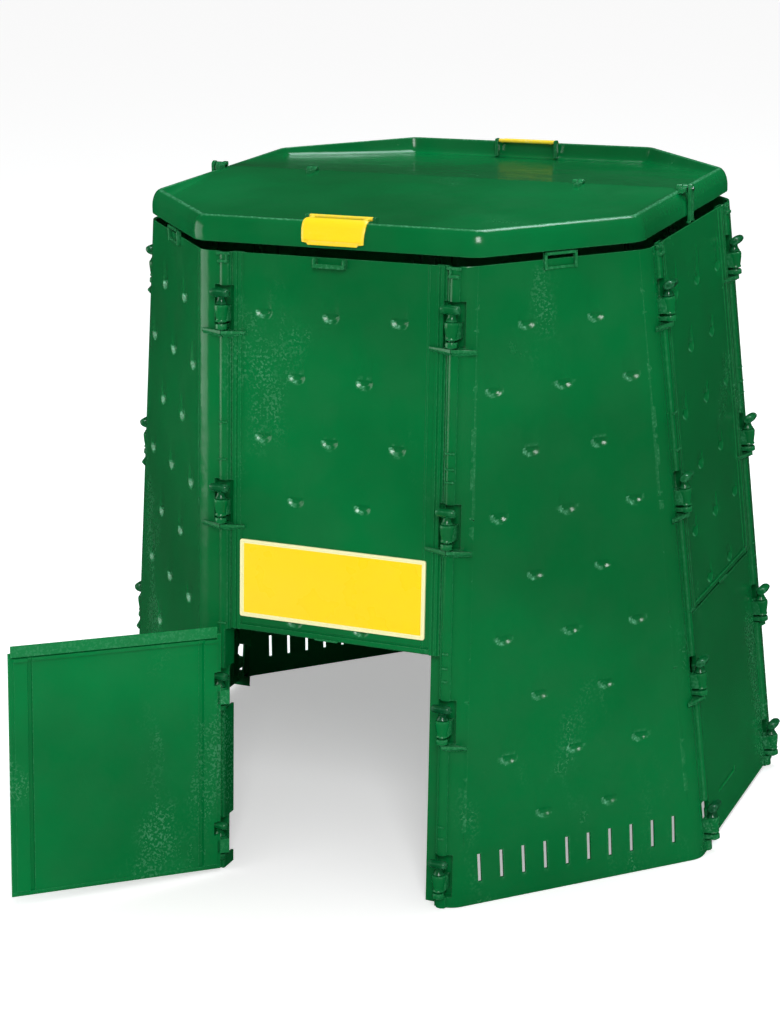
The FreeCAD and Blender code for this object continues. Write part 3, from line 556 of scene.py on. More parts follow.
def scoop_places(body, rows, wide_first, top):
    """Centres of the staggered rows, three and two to a row."""
    places = []
    for row in range(rows):
        steps = (-1, 0, 1) if (row % 2 == 0) == wide_first else (-0.5, 0.5)
        places += [(step * body.scoop_pitch, top - row * body.scoop_row) for step in steps]
    return places


def scoop_depth(body, dx, dy):
    """Depth of a scoop at a distance from the middle of its foot: a soft groove with a crisp round foot."""
    away = (dx * dx + min(dy, 0) ** 2) / body.scoop_radius ** 2
    if away >= 1 or dy > body.scoop_length:
        return 0.0
    groove = 0.4 * (1 - away) ** 1.6 * (1 - max(0, dy) / body.scoop_length) ** 2
    ledge = min(1.0, (1 - math.sqrt(away)) * body.scoop_radius / body.scoop_ledge)
    share = ramped(-dy, -0.003, body.scoop_radius * 0.3)
    return body.scoop_depth * (groove + (ledge - groove) * share)


def scoop_lines(body, places, pitch=0.0021):
    """The grid's columns and rows that draw scoops crisply, at a pitch across them."""
    columns, rows = [], []
    reach = body.scoop_radius * 0.98
    for x in {x for x, _ in places}:
        columns += spread(x - reach, x + reach, pitch)
    for y in {y for _, y in places}:
        rows += spread(y - reach, y + 0.002, pitch * 0.67) + spread(y + 0.002, y + body.scoop_length, 0.01)
    return columns, rows


def scoops_at(body, places, x, y):
    """How deep the scoops go at a point of a face."""
    depth = 0.0
    for x0, y0 in places:
        if abs(x - x0) < body.scoop_radius and -body.scoop_radius < y - y0 < body.scoop_length:
            depth = max(depth, scoop_depth(body, x - x0, y - y0))
    return depth


def ledge_highlight_at(body, places, x, y):
    """Painted highlight on a scoop's ledge: a pale crescent at its lower left, where the light from the upper
    right catches the ledge.
    """
    for x0, y0 in places:
        dx, dy = x - x0, y - y0
        away = math.hypot(dx, dy)
        if body.scoop_radius - body.scoop_ledge * 0.9 < away < body.scoop_radius * 0.93 and dy < -0.001:
            # The crescent centres on the side of the ledge that faces the light: painted highlight.
            swing = abs(math.degrees(math.atan2(-dy, -dx)) - 40)
            return LEDGE_HIGHLIGHT * (1 - ramped(swing, 30, 66))
    return 0.0


def ramped(value, start, end):
    """A smooth step from 0 at start to 1 at end."""
    t = min(1.0, max(0.0, (value - start) / (end - start)))
    return t * t * (3 - 2 * t)


def band(value, low, high, soft=FLANK):
    """1 between low and high, with soft flanks outside."""
    return ramped(value, low - soft, low) * (1 - ramped(value, high, high + soft))


def band_lines(*edges, soft=FLANK):
    """Grid lines that draw the soft flanks at a band's edges."""
    shifts = (-soft * 3, -soft, -soft / 2, 0.0, soft / 2, soft, soft * 3)
    return [edge + shift for edge in edges for shift in shifts]


def rounded_edge(distance, radius=0.0014):
    """How far a face falls back near its edge."""
    if distance >= radius:
        return 0.0
    return radius - math.sqrt(max(0.0, radius * radius - (radius - max(distance, 0.0)) ** 2))


def edge_lines(low, high):
    """Grid lines that draw the rounded edges at both ends of a face."""
    return [low, low + 0.0004, low + 0.0009, low + 0.0016, high - 0.0016, high - 0.0009, high - 0.0004, high]


# ---------------------------------------------------------------- walls

def in_pocket(body, pins, x, y, seam, soft=POCKET_FLANK):
    """How much a point lies in the recess round a pin: 0 outside, 1 inside."""
    across = band(x, seam - pins.pocket_half, seam + pins.pocket_half, soft)
    if across == 0:
        return 0.0
    return across * max(band(y, level - pins.pocket_low, level + pins.pocket_high, soft)
                        for level in levels_of(body, pins))


def pocket_rows(body, pins):
    """The grid's rows that draw the recesses' feet and heads."""
    return [row for level in levels_of(body, pins)
            for row in band_lines(level - pins.pocket_low, level + pins.pocket_high, soft=POCKET_FLANK)]


def keeper(piece, body):
    """The loop at a wall's top that a grip snaps behind."""
    top = slope_of(body)
    for low, high in (((-0.027, top - 0.016, 0.008), (0.027, top - 0.009, 0.0122)),
                      ((-0.027, top - 0.016, -0.002), (-0.0225, top - 0.001, 0.012)),
                      ((0.0225, top - 0.016, -0.002), (0.027, top - 0.001, 0.012))):
        put(piece, block(low, high, 0.0012))


def wall_piece(body, doors, pins, turn):
    """A wall over its door, in its face's frame."""
    seam_right = right_seam(body, turn)
    left, right = body.seam_step - body.seam_left, seam_right - body.seam_step
    low, high = doors.top / math.cos(lean_of(body)) + doors.gap / 2, slope_of(body)
    places = scoop_places(body, WALL_SCOOP_ROWS, True, high - body.top_scoop_drop)
    columns, rows = scoop_lines(body, places)
    rails = (left + 0.0055, left + 0.0175, right - 0.0165, right - 0.0045)
    ridge = right - 0.0305
    columns += edge_lines(left, right) + band_lines(*rails) + band_lines(ridge, ridge + 0.003)
    columns += band_lines(-body.seam_left + pins.pocket_half, seam_right - pins.pocket_half, soft=POCKET_FLANK)
    columns += band_lines(left + 0.010, left + 0.0125, right - 0.012, right - 0.0095, soft=GROOVE_FLANK)
    rows = [y for y in rows + pocket_rows(body, pins) + spread(low, high, 0.025) if low < y < high]
    rows += edge_lines(low, high) + band_lines(low + 0.0025, low + 0.009, low + 0.0125)

    def shape(x, y):
        out = -scoops_at(body, places, x, y)
        rail = max(band(x, rails[0], rails[1]), band(x, rails[2], rails[3]))
        out += 0.0026 * rail + 0.001 * band(x, ridge, ridge + 0.003)
        out -= 0.0014 * max(band(x, left + 0.010, left + 0.0125, GROOVE_FLANK),
                            band(x, right - 0.012, right - 0.0095, GROOVE_FLANK))
        inside = 1 - max(ramped(-x, -left - 0.0185, -left - 0.017), ramped(x, right - 0.018, right - 0.0165))
        sill = 0.0022 * band(y, low + 0.0025, low + 0.009) - 0.001 * band(y, low + 0.0095, low + 0.012)
        out += inside * sill
        pocket = max(in_pocket(body, pins, x, y, -body.seam_left), in_pocket(body, pins, x, y, seam_right))
        out -= (pins.pocket_depth + out) * pocket
        out -= rounded_edge(min(x - left, right - x, y - low, high - y))
        return Vector((x, y, out))

    # Painted highlight: pale crescents on the scoops' ledges.
    def wear_and_highlight(x, y):
        return ledge_highlight_at(body, places, x, y)

    piece = thickened(sheet(merged(columns), merged(rows), shape, (), wear_and_highlight), body.wall)
    for side, seam in ((-1, body.seam_left), (1, seam_right)):
        for level in levels_of(body, pins)[:2]:
            shelf(piece, pins, seam * side, -side, level)
    put(piece, block((-0.02, low - 0.0005, 0.002), (0.02, low + 0.003, 0.0042), 0.0008))
    return piece


def shelf(piece, pins, x, towards, level):
    """Half a shelf under a pin, from its seam out to a pointed end, on a slanting gusset."""
    top = level - pins.pocket_low - 0.001
    part = bmesh.new()
    bmesh.ops.create_cube(part, size=1)
    near, far = x + 0.0006 * towards, x + pins.shelf_half * towards
    for vertex in part.verts:
        outer, upper, front = vertex.co.x > 0, vertex.co.y > 0, vertex.co.z > 0
        reach = pins.shelf_reach * (0.25 if outer else 1.0)
        depth = pins.shelf_thickness + (0.0 if front else 0.009)
        vertex.co = (far if outer else near, top if upper else top - depth * (0.5 if outer else 1.0),
                     reach if front else -0.001)
    bmesh.ops.bevel(part, geom=part.edges[:], offset=0.0007, segments=2, profile=0.5, affect="EDGES",
                    material=-1)
    bmesh.ops.recalc_face_normals(part, faces=part.faces)
    put(piece, part)


def turned(piece, profile, place):
    """Add a profile turned round an axis up the slope, from a place."""
    put(piece, lathe(profile), Matrix.Translation(place) @ Matrix.Rotation(-math.pi / 2, 4, "X"))


def barrel(piece, pins, x, level, root):
    """A knuckle: a bulging barrel that tapers down to a beaded foot."""
    profile = [(0.0, -0.0135), (0.0075, -0.0135), (0.0089, -0.0128), (0.0093, -0.0115), (0.0084, -0.0098),
               (0.0084, -0.008), (0.0096, -0.002), (0.0106, 0.004), (0.0112, 0.0095), (0.0108, 0.0125),
               (0.0094, 0.0138), (0.0, 0.0138)]
    turned(piece, profile, (x, level, pins.offset))
    put(piece, block((x - 0.0105, level - 0.012, -root), (x + 0.0105, level + 0.012, pins.offset - 0.001)))


def ring(piece, pins, x, level):
    """The ring under a knuckle."""
    profile = [(0.0, -0.0245), (0.0082, -0.0245), (0.0092, -0.0238), (0.0094, -0.0225), (0.0094, -0.018),
               (0.0088, -0.0165), (0.0075, -0.0158), (0.0, -0.0158)]
    turned(piece, profile, (x, level, pins.offset))
    put(piece, block((x - 0.009, level - 0.0235, -pins.root), (x + 0.0035, level - 0.0165, pins.offset)))


def pin(piece, pins, x, level):
    """A pin: a shaft, a waisted neck and a rounded cross bar that tips outwards."""
    put(piece, rod(pins.radius, (x, level - 0.027, pins.offset), (x, level + 0.031, pins.offset)))
    neck = [(0.0, 0.0), (0.0085, 0.0), (0.0092, 0.001), (0.0072, 0.0045), (0.0058, 0.009), (0.0068, 0.0135),
            (0.0, 0.0135)]
    turned(piece, neck, (x, level + 0.0142, pins.offset))
    bar = [(0.0, -0.0158), (0.0042, -0.0156), (0.0066, -0.0145), (0.0082, -0.012), (0.0088, -0.006),
           (0.009, 0.0), (0.0088, 0.006), (0.0082, 0.012), (0.0066, 0.0145), (0.0042, 0.0156), (0.0, 0.0158)]
    tilt = Matrix.Rotation(math.radians(-22), 4, "X") @ Matrix.Diagonal((1.0, 0.78, 1.12, 1.0))
    put(piece, lathe(bar), Matrix.Translation((x, level + 0.0325, pins.offset + 0.005)) @ tilt
        @ Matrix.Rotation(math.pi / 2, 4, "Y"))


# ---------------------------------------------------------------- corner panels

def corner_station(body, key, z):
    """A point of the corner panel's outline at a height, its outward direction and its place along it.

    The outline runs from the front face's right seam, round the two corners, to the next face's left
    seam.  A key is (part, place): a wrap or arc by distance from a face's middle, or the flat by
    distance from its own middle."""
    part, place = key
    apothem = body.base_apothem + (body.top_apothem - body.base_apothem) * z / body.height
    radius = body.corner_radius
    tangent = radius * math.tan(math.radians(22.5))
    turn = body.half_face - tangent
    if part == "flat":
        half = (apothem - body.half_face) / math.sqrt(2) - tangent
        widest = (body.base_apothem + (body.top_apothem - body.base_apothem) * 0.1 - body.half_face) \
            / math.sqrt(2) - tangent
        if abs(place) > STEADY_HALF and z > 0.1 * body.height:
            share = (abs(place) - STEADY_HALF) / (widest - STEADY_HALF)
            place = math.copysign(STEADY_HALF + share * (half - STEADY_HALF), place)
        middle = (apothem + body.half_face) / 2
        along, out = Vector((1, 1)) / math.sqrt(2), Vector((1, -1)) / math.sqrt(2)
        point = Vector((middle, -middle)) + along * place
        return point, out
    swept = max(0.0, place - turn) / radius
    straight = min(place, turn)
    point = Vector((straight, -apothem)) + Vector((math.sin(swept), 1 - math.cos(swept))) * radius
    out = Vector((math.sin(swept), -math.cos(swept)))
    if part == "next":
        point, out = Vector((-point.y, -point.x)), Vector((-out.y, -out.x))
    return point, out


def corner_piece(body, doors, pins, turn):
    """The panel between a face and the next, wrapped round both corners to the seams, as at the front."""
    radius = body.corner_radius
    straight = body.half_face - radius * math.tan(math.radians(22.5))
    arc_end = straight + radius * math.radians(45)
    diagonal_lean = math.atan2((body.base_apothem - body.top_apothem) / math.sqrt(2), body.height)
    places = scoop_places(body, CORNER_SCOOP_ROWS, False, body.height - body.top_scoop_drop)
    scoop_columns, rows = scoop_lines(body, places, 0.0027)
    slots = [body.slot_pitch * (i + 0.5) for i in range(-SLOTS_EACH_SIDE, SLOTS_EACH_SIDE)]
    half_slot = body.slot_width / 2
    seams = {"front": right_seam(body, turn), "next": body.seam_left}
    edges = {part: seam - body.seam_step + body.seam_gap for part, seam in seams.items()}
    keys = []
    for part in ("front", "next"):
        edge, seam = edges[part], seams[part]
        lines = [edge - body.lap_reach, edge - body.lap_reach / 2, edge - 0.0012, edge - 0.0002, edge,
                 edge + 0.0004, edge + 0.0009, edge + 0.0016]
        lines += spread(seam - body.rib_half, seam + body.rib_half, 0.0013)
        lines += spread(straight, arc_end, 0.0026)
        lines += band_lines(seam - pins.pocket_half, seam + pins.pocket_half, soft=POCKET_FLANK)
        lines += spread(edge, straight, 0.006)
        wraps = [(part, place) for place in merged(lines) if place <= arc_end + 1e-6]
        keys.append(wraps if part == "front" else wraps[::-1])
    flat = [x for x in scoop_columns if abs(x) < STEADY_HALF] + spread(-STEADY_HALF, STEADY_HALF, 0.02)
    for x in slots:
        flat += [x - half_slot, x + half_slot]
    flat += [side * x for side in (-1, 1) for x in spread(0.150, 0.1965, 0.0155)]
    flat = [x for x in merged(flat, 0.0009)
            if not any(0.0001 < abs(abs(x - slot) - half_slot) < 0.0009 for slot in slots)]
    for x in slots:
        flat += [x - half_slot, x + half_slot]
    stations = keys[0] + [("flat", x) for x in merged(flat, 0.0003)] + keys[1]
    high = body.height
    rows = [y * math.cos(diagonal_lean) for y in rows + spread(0, high, 0.03)]
    rows += [row * math.cos(lean_of(body)) for row in pocket_rows(body, pins)]
    slot_rows = [body.slot_level, body.slot_level + body.slot_height]
    door = doors.top
    rows = merged([z for z in rows if 0 < z < high] + edge_lines(0, high) + band_lines(door))
    rows = merged([z for z in rows if all(abs(z - s) > 0.0006 for s in slot_rows)] + slot_rows)

    def shape(index, z):
        part, place = stations[int(index)]
        point, out = corner_station(body, (part, place), z)
        if part == "flat":
            height = -scoops_at(body, places, place, z / math.cos(diagonal_lean))
        else:
            seam, edge = seams[part], edges[part]
            y = z / math.cos(lean_of(body))
            rib = math.sqrt(max(0.0, 1 - ((place - seam) / body.rib_half) ** 2))
            height = body.rib_height * rib
            pocket = in_pocket(body, pins, place, y, seam)
            height -= (pins.pocket_depth + height) * pocket
            if place < edge:
                depth = body.lap_depth
                below = 1 - ramped(z, door - 0.001, door + 0.001)
                if part == "front":
                    depth += (body.jamb_depth - body.lap_depth) * below
                height = -depth * ramped(edge - place, 0.0, 0.0011)
            else:
                height -= rounded_edge(place - edge)
            jamb = seam - body.jamb_clear
            if part == "next" and place < jamb and z < door:
                point, out = corner_station(body, (part, jamb), z)
                height = min(place - jamb, -0.0005)
        height -= rounded_edge(min(z, high - z))
        return Vector((point.x + out.x * height, point.y + out.y * height, z))

    # Painted highlight: pale crescents on the ledges of the scoops on the flat.
    def wear_and_highlight(index, z):
        part, place = stations[int(index)]
        return ledge_highlight_at(body, places, place, z / math.cos(diagonal_lean)) if part == "flat" else 0.0

    columns = list(range(len(stations)))
    holes = []
    for x in slots:
        first = min(i for i, key in enumerate(stations) if key[0] == "flat" and key[1] > x - half_slot - 1e-6)
        last = max(i for i, key in enumerate(stations) if key[0] == "flat" and key[1] < x + half_slot + 1e-6)
        holes.append((first, last, slot_rows[0], slot_rows[1]))
    jamb = seams["next"] - body.jamb_clear
    flange = min(i for i, key in enumerate(stations) if key[0] == "next" and key[1] < jamb)
    for level in levels_of(body, pins)[2:]:
        ends = [y * math.cos(lean_of(body)) for y in (level - pins.pocket_low, level + pins.pocket_high)]
        holes.append((flange - 0.99, len(stations), *ends))
    piece = thickened(sheet(columns, rows, shape, holes, wear_and_highlight), body.wall)
    for part in ("front", "next"):
        sign = 1 if part == "front" else -1
        local = face_matrix(body) if part == "front" else next_turn(face_matrix(body))
        extra = bmesh.new()
        x = seams[part] * sign
        for i, level in enumerate(levels_of(body, pins)):
            ring(extra, pins, x, level)
            if i < 2 or part == "front":
                barrel(extra, pins, x, level, pins.root)
            if i < 3:
                shelf(extra, pins, x, sign, level)
        for z in RIB_BARS[part]:
            y = z / math.cos(lean_of(body))
            wide = 0.0075 if z > 0.5 or part == "next" else 0.0048
            put(extra, block((x - wide, y - 0.0015, 0.001), (x + wide, y + 0.0015, body.rib_height + 0.0022),
                             0.0009))
        wedge(extra, body, x, sign)
        put(piece, extra, local)
    lid_rest(piece, body)
    return piece


def wedge(piece, body, x, sign):
    """The short hooked tab at the top of a seam."""
    top = slope_of(body)
    put(piece, block((x - 0.009, top - 0.018, 0.002), (x + 0.009, top - 0.0125, 0.0085), 0.0018))
    put(piece, block((x - 0.0125, top - 0.006, 0.001), (x + 0.0105, top - 0.001, 0.006), 0.0012))
    stem = x - 0.006 * sign
    put(piece, block((stem - 0.0018, top - 0.014, 0.001), (stem + 0.0018, top - 0.004, 0.0075), 0.0009))


def lid_rest(piece, body):
    """The bracket at the top of a corner panel that the lid lies on."""
    out = (body.top_apothem + body.half_face) / math.sqrt(2)
    top = body.height + 0.0105
    turn = Matrix.Rotation(math.radians(45), 4, "Z")
    for low, high in (((-0.027, -out - 0.0062, top - 0.0045), (0.027, -out + 0.002, top)),
                      ((-0.027, -out - 0.0062, top - 0.026), (-0.0225, -out + 0.002, top)),
                      ((0.0225, -out - 0.0062, top - 0.026), (0.027, -out + 0.002, top)),
                      ((-0.027, -out - 0.004, top - 0.026), (0.027, -out + 0.002, top - 0.0215))):
        put(piece, block(low, high, 0.001), turn)


# ---------------------------------------------------------------- doors

def door_piece(body, doors, pins):
    """A door flap, shut, in its face's frame: a plain outer face and a bordered inner face."""
    left, right = -doors.left, doors.right
    low, high = doors.ground_gap, doors.top / math.cos(lean_of(body)) - doors.gap / 2
    margin, strip, groove = doors.margin, doors.border, doors.groove
    near = (left + margin, left + margin + strip)
    far = (right - margin - strip, right - margin)
    finger = (-doors.finger_shift - doors.finger_width / 2, -doors.finger_shift + doors.finger_width / 2,
              doors.finger_level, doors.finger_level + doors.finger_height)
    columns = edge_lines(left, right) + band_lines(*near, *far, near[1] + groove, far[0] - groove)
    columns += band_lines(finger[0], finger[1]) + spread(left, right, 0.03)
    rows = edge_lines(low, high) + band_lines(low + margin, high - margin, high - margin - 0.005,
                                              low + margin - 0.004, high - 0.0035)
    rows += band_lines(finger[2], finger[3]) + spread(low, high, 0.03)
    notches = [(left - 0.001, left + doors.notch, level + BAR_LOW, level + BAR_HIGH)
               for level in levels_of(body, pins)[2:]]
    columns.append(left + doors.notch)
    rows += [y for notch in notches for y in notch[2:]]
    columns, rows = merged(columns), merged(rows)

    def outer(x, y):
        out = -0.0025 * band(x, finger[0], finger[1]) * band(y, finger[2], finger[3])
        out -= rounded_edge(min(x - left, right - x, y - low, high - y))
        return Vector((x, y, out))

    def inner(x, y):
        upright = band(y, low + margin, high - margin)
        strips = max(band(x, *near), band(x, *far)) * upright
        grooves = max(band(x, near[1] + 0.0012, near[1] + groove), band(x, far[0] - groove, far[0] - 0.0012))
        lip = band(y, high - margin - 0.005, high - margin) * band(x, near[0], far[1])
        back = -body.wall - doors.border_height * strips + 0.0024 * grooves * upright - 0.0045 * lip
        back -= 0.0012 * band(y, low + margin - 0.004, low + margin - 0.001)
        spot = math.hypot(x - (left + right) / 2 - 0.01, y - (low + high) / 2 + 0.004)
        back -= 0.0018 * (spot < 0.002)
        back += rounded_edge(min(x - left, right - x, y - low, high - y))
        return Vector((x, y, back))

    piece = sheet(columns, rows, outer, notches)
    inside = sheet(columns, rows, inner, notches)
    bmesh.ops.reverse_faces(inside, faces=inside.faces)
    put(piece, inside)
    bmesh.ops.bridge_loops(piece, edges=[edge for edge in piece.edges if edge.is_boundary])
    bmesh.ops.recalc_face_normals(piece, faces=piece.faces)
    start, end, foot = left + margin, right - 0.003, high - 0.006
    put(piece, block((start, foot, -0.0086), (end, high + doors.tongue, -0.0052)))
    put(piece, block((start, foot, -0.0074), (end, high - 0.0015, -0.003), 0.0008))
    for level in levels_of(body, pins)[2:]:
        barrel(piece, pins, -body.seam_left, level, body.wall)
        put(piece, block((-body.seam_left, level - 0.012, -0.0035), (left + 0.006, level + 0.012, 0.0005)))
    return piece


def opened(body, doors, pins):
    """The turn of the front door out about its pins, in its face's frame."""
    axis = Matrix.Translation((-body.seam_left, 0, pins.offset))
    return axis @ Matrix.Rotation(-doors.angle, 4, "Y") @ axis.inverted()


# ---------------------------------------------------------------- lid

def rounded_path(corners, radius, pitch):
    """Points along a line of corners with each rounded, and the outward direction at each."""
    stations = []
    start = Vector(corners[0])
    for i in range(1, len(corners)):
        corner = Vector(corners[i])
        before = (corner - Vector(corners[i - 1])).normalized()
        out = Vector((before.y, -before.x))
        if i == len(corners) - 1:
            stations += [(start.lerp(corner, t), out) for t in spread(0, 1, pitch / (corner - start).length)]
            return stations
        after = (Vector(corners[i + 1]) - corner).normalized()
        turn = before.angle_signed(after)
        reach = radius * math.tan(abs(turn) / 2)
        end = corner - before * reach
        stations += [(start.lerp(end, t), out) for t in spread(0, 1, pitch / (end - start).length)]
        centre = end - out * radius
        for t in range(1, 8):
            swung = Matrix.Rotation(-turn * t / 8, 2) @ out
            stations.append((centre + swung * radius, swung))
        start = corner + after * reach
    return stations


def rim_curve(lid, over, steps):
    """The rim's rounded outside from its crest down to its skirt, as (inset, height), a distance over it."""
    foot = lid.low + lid.skirt
    angles = [math.pi / 2 * (1 - i / steps) for i in range(steps + 1)]
    rise = lid.top - lid.crest_drop - foot + over
    return [(lid.round - (lid.round + over) * math.cos(a), foot + rise * math.sin(a)) for a in angles]


def rim_profile(lid):
    """The rim's section: (inset, height, share of the dish's depth that it falls by)."""
    points = [(0.0016, lid.low, 0.0), (0.0004, lid.low + 0.0005, 0.0), (0.0, lid.low + 0.0018, 0.0)]
    points += [(inset, high, 0.0) for inset, high in reversed(rim_curve(lid, 0.0, 9))]
    inner = lid.round + lid.crest
    span = lid.rim - inner
    for t, fall in ((0.0, 0.0), (0.03, 0.02), (0.07, 0.1), (0.15, 0.32), (0.24, 0.56), (0.35, 0.76),
                    (0.5, 0.9), (0.7, 0.97), (1.0, 1.0)):
        points.append((inner + span * t, lid.top - lid.crest_drop * (1 - fall), fall))
    return points


def lid_half(lid):
    """Half of the lid, towards -Y: a rounded rim, a floor that rises to the ridge, and its hinge barrels."""
    gap = lid.ridge_gap / 2
    a, e = lid.apothem, lid.half_edge
    corners = [(-a, -gap), (-a, -e), (-e, -a), (e, -a), (a, -e), (a, -gap)]
    stations = rounded_path(corners, lid.corner_radius, 0.03)
    profile = rim_profile(lid)
    run = a - lid.rim

    def shape(column, row):
        point, out = stations[int(column)]
        inset, high, fall = profile[int(row)]
        place = point - out * inset
        depth = lid.dish * min(1.0, max(0.0, -place.y / run))
        return Vector((place.x, place.y, high - depth * fall))

    piece = sheet(list(range(len(stations))), list(range(len(profile))), shape)
    layer = piece.verts.layers.float.get("wear_and_highlight")
    crest = lid.apothem - lid.round - lid.crest
    # Painted highlight: a pale line along the inner edge of the crest, paler than a plain worn edge.
    for vertex in piece.verts:
        across = max(abs(vertex.co.x), abs(vertex.co.y), (abs(vertex.co.x) + abs(vertex.co.y) - lid.half_edge
                     - lid.apothem) / math.sqrt(2) + lid.apothem)
        if -0.0015 < across - crest < 0.0045 and vertex.co.z > lid.top - lid.crest_drop - 0.003:
            vertex[layer] = CREST_HIGHLIGHT
    chain = [edge for edge in piece.edges if edge.is_boundary
             and min(v.co.z for v in edge.verts) > lid.low + 0.006
             and min(v.co.y for v in edge.verts) < -gap - 1e-5]
    ends = [v for v in piece.verts if sum(v in edge.verts for edge in chain if v in edge.verts) == 1]
    bmesh.ops.edgeloop_fill(piece, edges=chain + [piece.edges.new(ends)])
    ridge = [edge for edge in piece.edges if edge.is_boundary and all(
        v.co.y > -gap - 1e-5 and v.co.z > lid.top - 0.02 for v in edge.verts)]
    made = bmesh.ops.extrude_edge_only(piece, edges=ridge)["geom"]
    lowered = [v for v in made if isinstance(v, bmesh.types.BMVert)]
    bmesh.ops.translate(piece, vec=(0, 0, -0.009), verts=lowered)
    bmesh.ops.recalc_face_normals(piece, faces=piece.faces)
    if sum(f.normal.z * f.calc_area() for f in piece.faces) < 0:
        bmesh.ops.reverse_faces(piece, faces=piece.faces)
    thickened(piece, lid.shell)
    hinge_barrels(piece, lid)
    grip_ears(piece, lid)
    return piece


def hinge_barrels(piece, lid):
    """Barrels on the hinge line: at both ends, and in pairs on the ridge with the straps that root them."""
    step = lid.barrel + lid.barrel_gap
    end = lid.apothem - lid.barrel_gap
    starts = [end - lid.barrel, -end + step, lid.ridge_barrel, -lid.ridge_barrel - lid.barrel + step]
    for x in starts:
        put(piece, rod(lid.barrel_radius, (x, 0, lid.top), (x + lid.barrel, 0, lid.top), 0.001))
        put(piece, block((x, -0.026, lid.top - 0.004), (x + lid.barrel, -0.0008, lid.top + 0.0035), 0.0014))


def grip_axis(lid):
    """Height of a grip's rod."""
    return lid.top + 0.0004


def grip_ears(piece, lid):
    """The two ears that hold a grip's rod."""
    near, wide, deep = lid.grip_half + 0.0006, 0.006, 0.0055
    for x in (-near - wide, near):
        put(piece, block((x, -lid.grip_pivot - deep, lid.top - 0.028),
                         (x + wide, -lid.grip_pivot + deep, lid.top + 0.004), 0.0016))


def grip_piece(lid):
    """The cover over the middle of the rim: it follows the rim down from its crest, and two arms join it
    to its rod."""
    over = lid.grip_over
    top = lid.top - lid.crest_drop + over
    low = lid.top - lid.grip_drop
    back = lid.round - lid.apothem
    line = [(back + 0.0042, top - 0.0016), (back + 0.003, top - 0.0004)]
    line += [(inset - lid.apothem, high) for inset, high in rim_curve(lid, over, 10)]
    line += [(-lid.apothem - over, low + 0.0012), (-lid.apothem - over + 0.0014, low)]
    widths = (0.9, 0.96) + (1.0,) * 7 + (0.99, 0.985, 0.98, 0.97, 0.95, 0.9)
    half = lid.grip_half
    columns = spread(-1, 1, 0.1) + [-0.985, -0.96, 0.96, 0.985]

    def shape(share, row):
        y, z = line[int(row)]
        fall = 0.0016 * ramped(abs(share), 0.94, 1.0)
        upper = int(row) < 7
        lower = 0 if upper else fall
        return Vector((share * half * widths[int(row)], y + lower, z - (fall if upper else 0)))

    piece = sheet(merged(columns, 0.001), list(range(len(line))), shape)
    piece.normal_update()
    if sum(f.normal.z * f.calc_area() for f in piece.faces) < 0:
        bmesh.ops.reverse_faces(piece, faces=piece.faces)
    thickened(piece, lid.grip_thickness)
    axis = grip_axis(lid)
    put(piece, rod(0.0032, (-half, -lid.grip_pivot, axis), (half, -lid.grip_pivot, axis)))
    for x in (-half * 0.93, half * 0.93 - 0.007):
        put(piece, block((x, back - 0.002, top - 0.0045), (x + 0.007, -lid.grip_pivot + 0.0015, top), 0.001))
    return piece


def plate_piece(body, plate):
    """The bare plate with its raised rim, in the front face's frame."""
    low = plate.level / math.cos(lean_of(body))
    part = bmesh.new()
    bmesh.ops.create_cube(part, size=1)
    corner_low = Vector((plate.left, low, 0.0))
    corner_high = Vector((plate.right, low + plate.height, plate.thickness))
    for vertex in part.verts:
        vertex.co = [corner_high[i] if vertex.co[i] > 0 else corner_low[i] for i in range(3)]
    part.normal_update()
    inner = [face for face in part.faces if face.normal.z > 0.9]
    uprights = [edge for edge in part.edges if abs(edge.verts[0].co.z - edge.verts[1].co.z) > 0.001]
    bmesh.ops.inset_region(part, faces=inner, thickness=plate.rim)
    bmesh.ops.inset_region(part, faces=inner, thickness=0.0008)
    bmesh.ops.translate(part, vec=(0, 0, -0.0011), verts=list({v for f in inner for v in f.verts}))
    for _ in range(2):
        bmesh.ops.inset_region(part, faces=inner, thickness=0.0015)
    for face in inner:
        face.material_index = 1
    bmesh.ops.bevel(part, geom=uprights, offset=0.0035, segments=4, profile=0.5, affect="EDGES", material=-1)
    return part


# ---------------------------------------------------------------- operators

class MakeMaterials(bpy.types.Operator):
    """Make the materials from the colours"""
    bl_idname = "composter.materials"
    bl_label = "Materials"

    def execute(self, context):
        make_materials(context.scene.composter_colours)
        return {"FINISHED"}


class MakeWalls(bpy.types.Operator):
    """Build the four wall panels"""
    bl_idname = "composter.walls"
    bl_label = "Walls"

    def execute(self, context):
        scene = context.scene
        body = scene.composter_body
        for turn, face in enumerate(FACES):
            piece = wall_piece(body, scene.composter_doors, scene.composter_pins, turn)
            if face in ("front", "back"):
                keeper(piece, body)
            bmesh.ops.transform(piece, matrix=face_matrix(body), verts=piece.verts)
            finished(face + "_wall", piece, MATERIALS["body"], "bin", [face + "_wall_panel"],
                     turn)
            piece.free()
        return {"FINISHED"}


class MakeCorners(bpy.types.Operator):
    """Build the four corner panels"""
    bl_idname = "composter.corners"
    bl_label = "Corner panels"

    def execute(self, context):
        scene = context.scene
        for turn, face in enumerate(FACES):
            piece = corner_piece(scene.composter_body, scene.composter_doors, scene.composter_pins, turn)
            name = f"{face}_{FACES[(turn + 1) % 4]}_corner"
            finished(name, piece, MATERIALS["body"], "bin", [name + "_panel"], turn)
            piece.free()
        return {"FINISHED"}


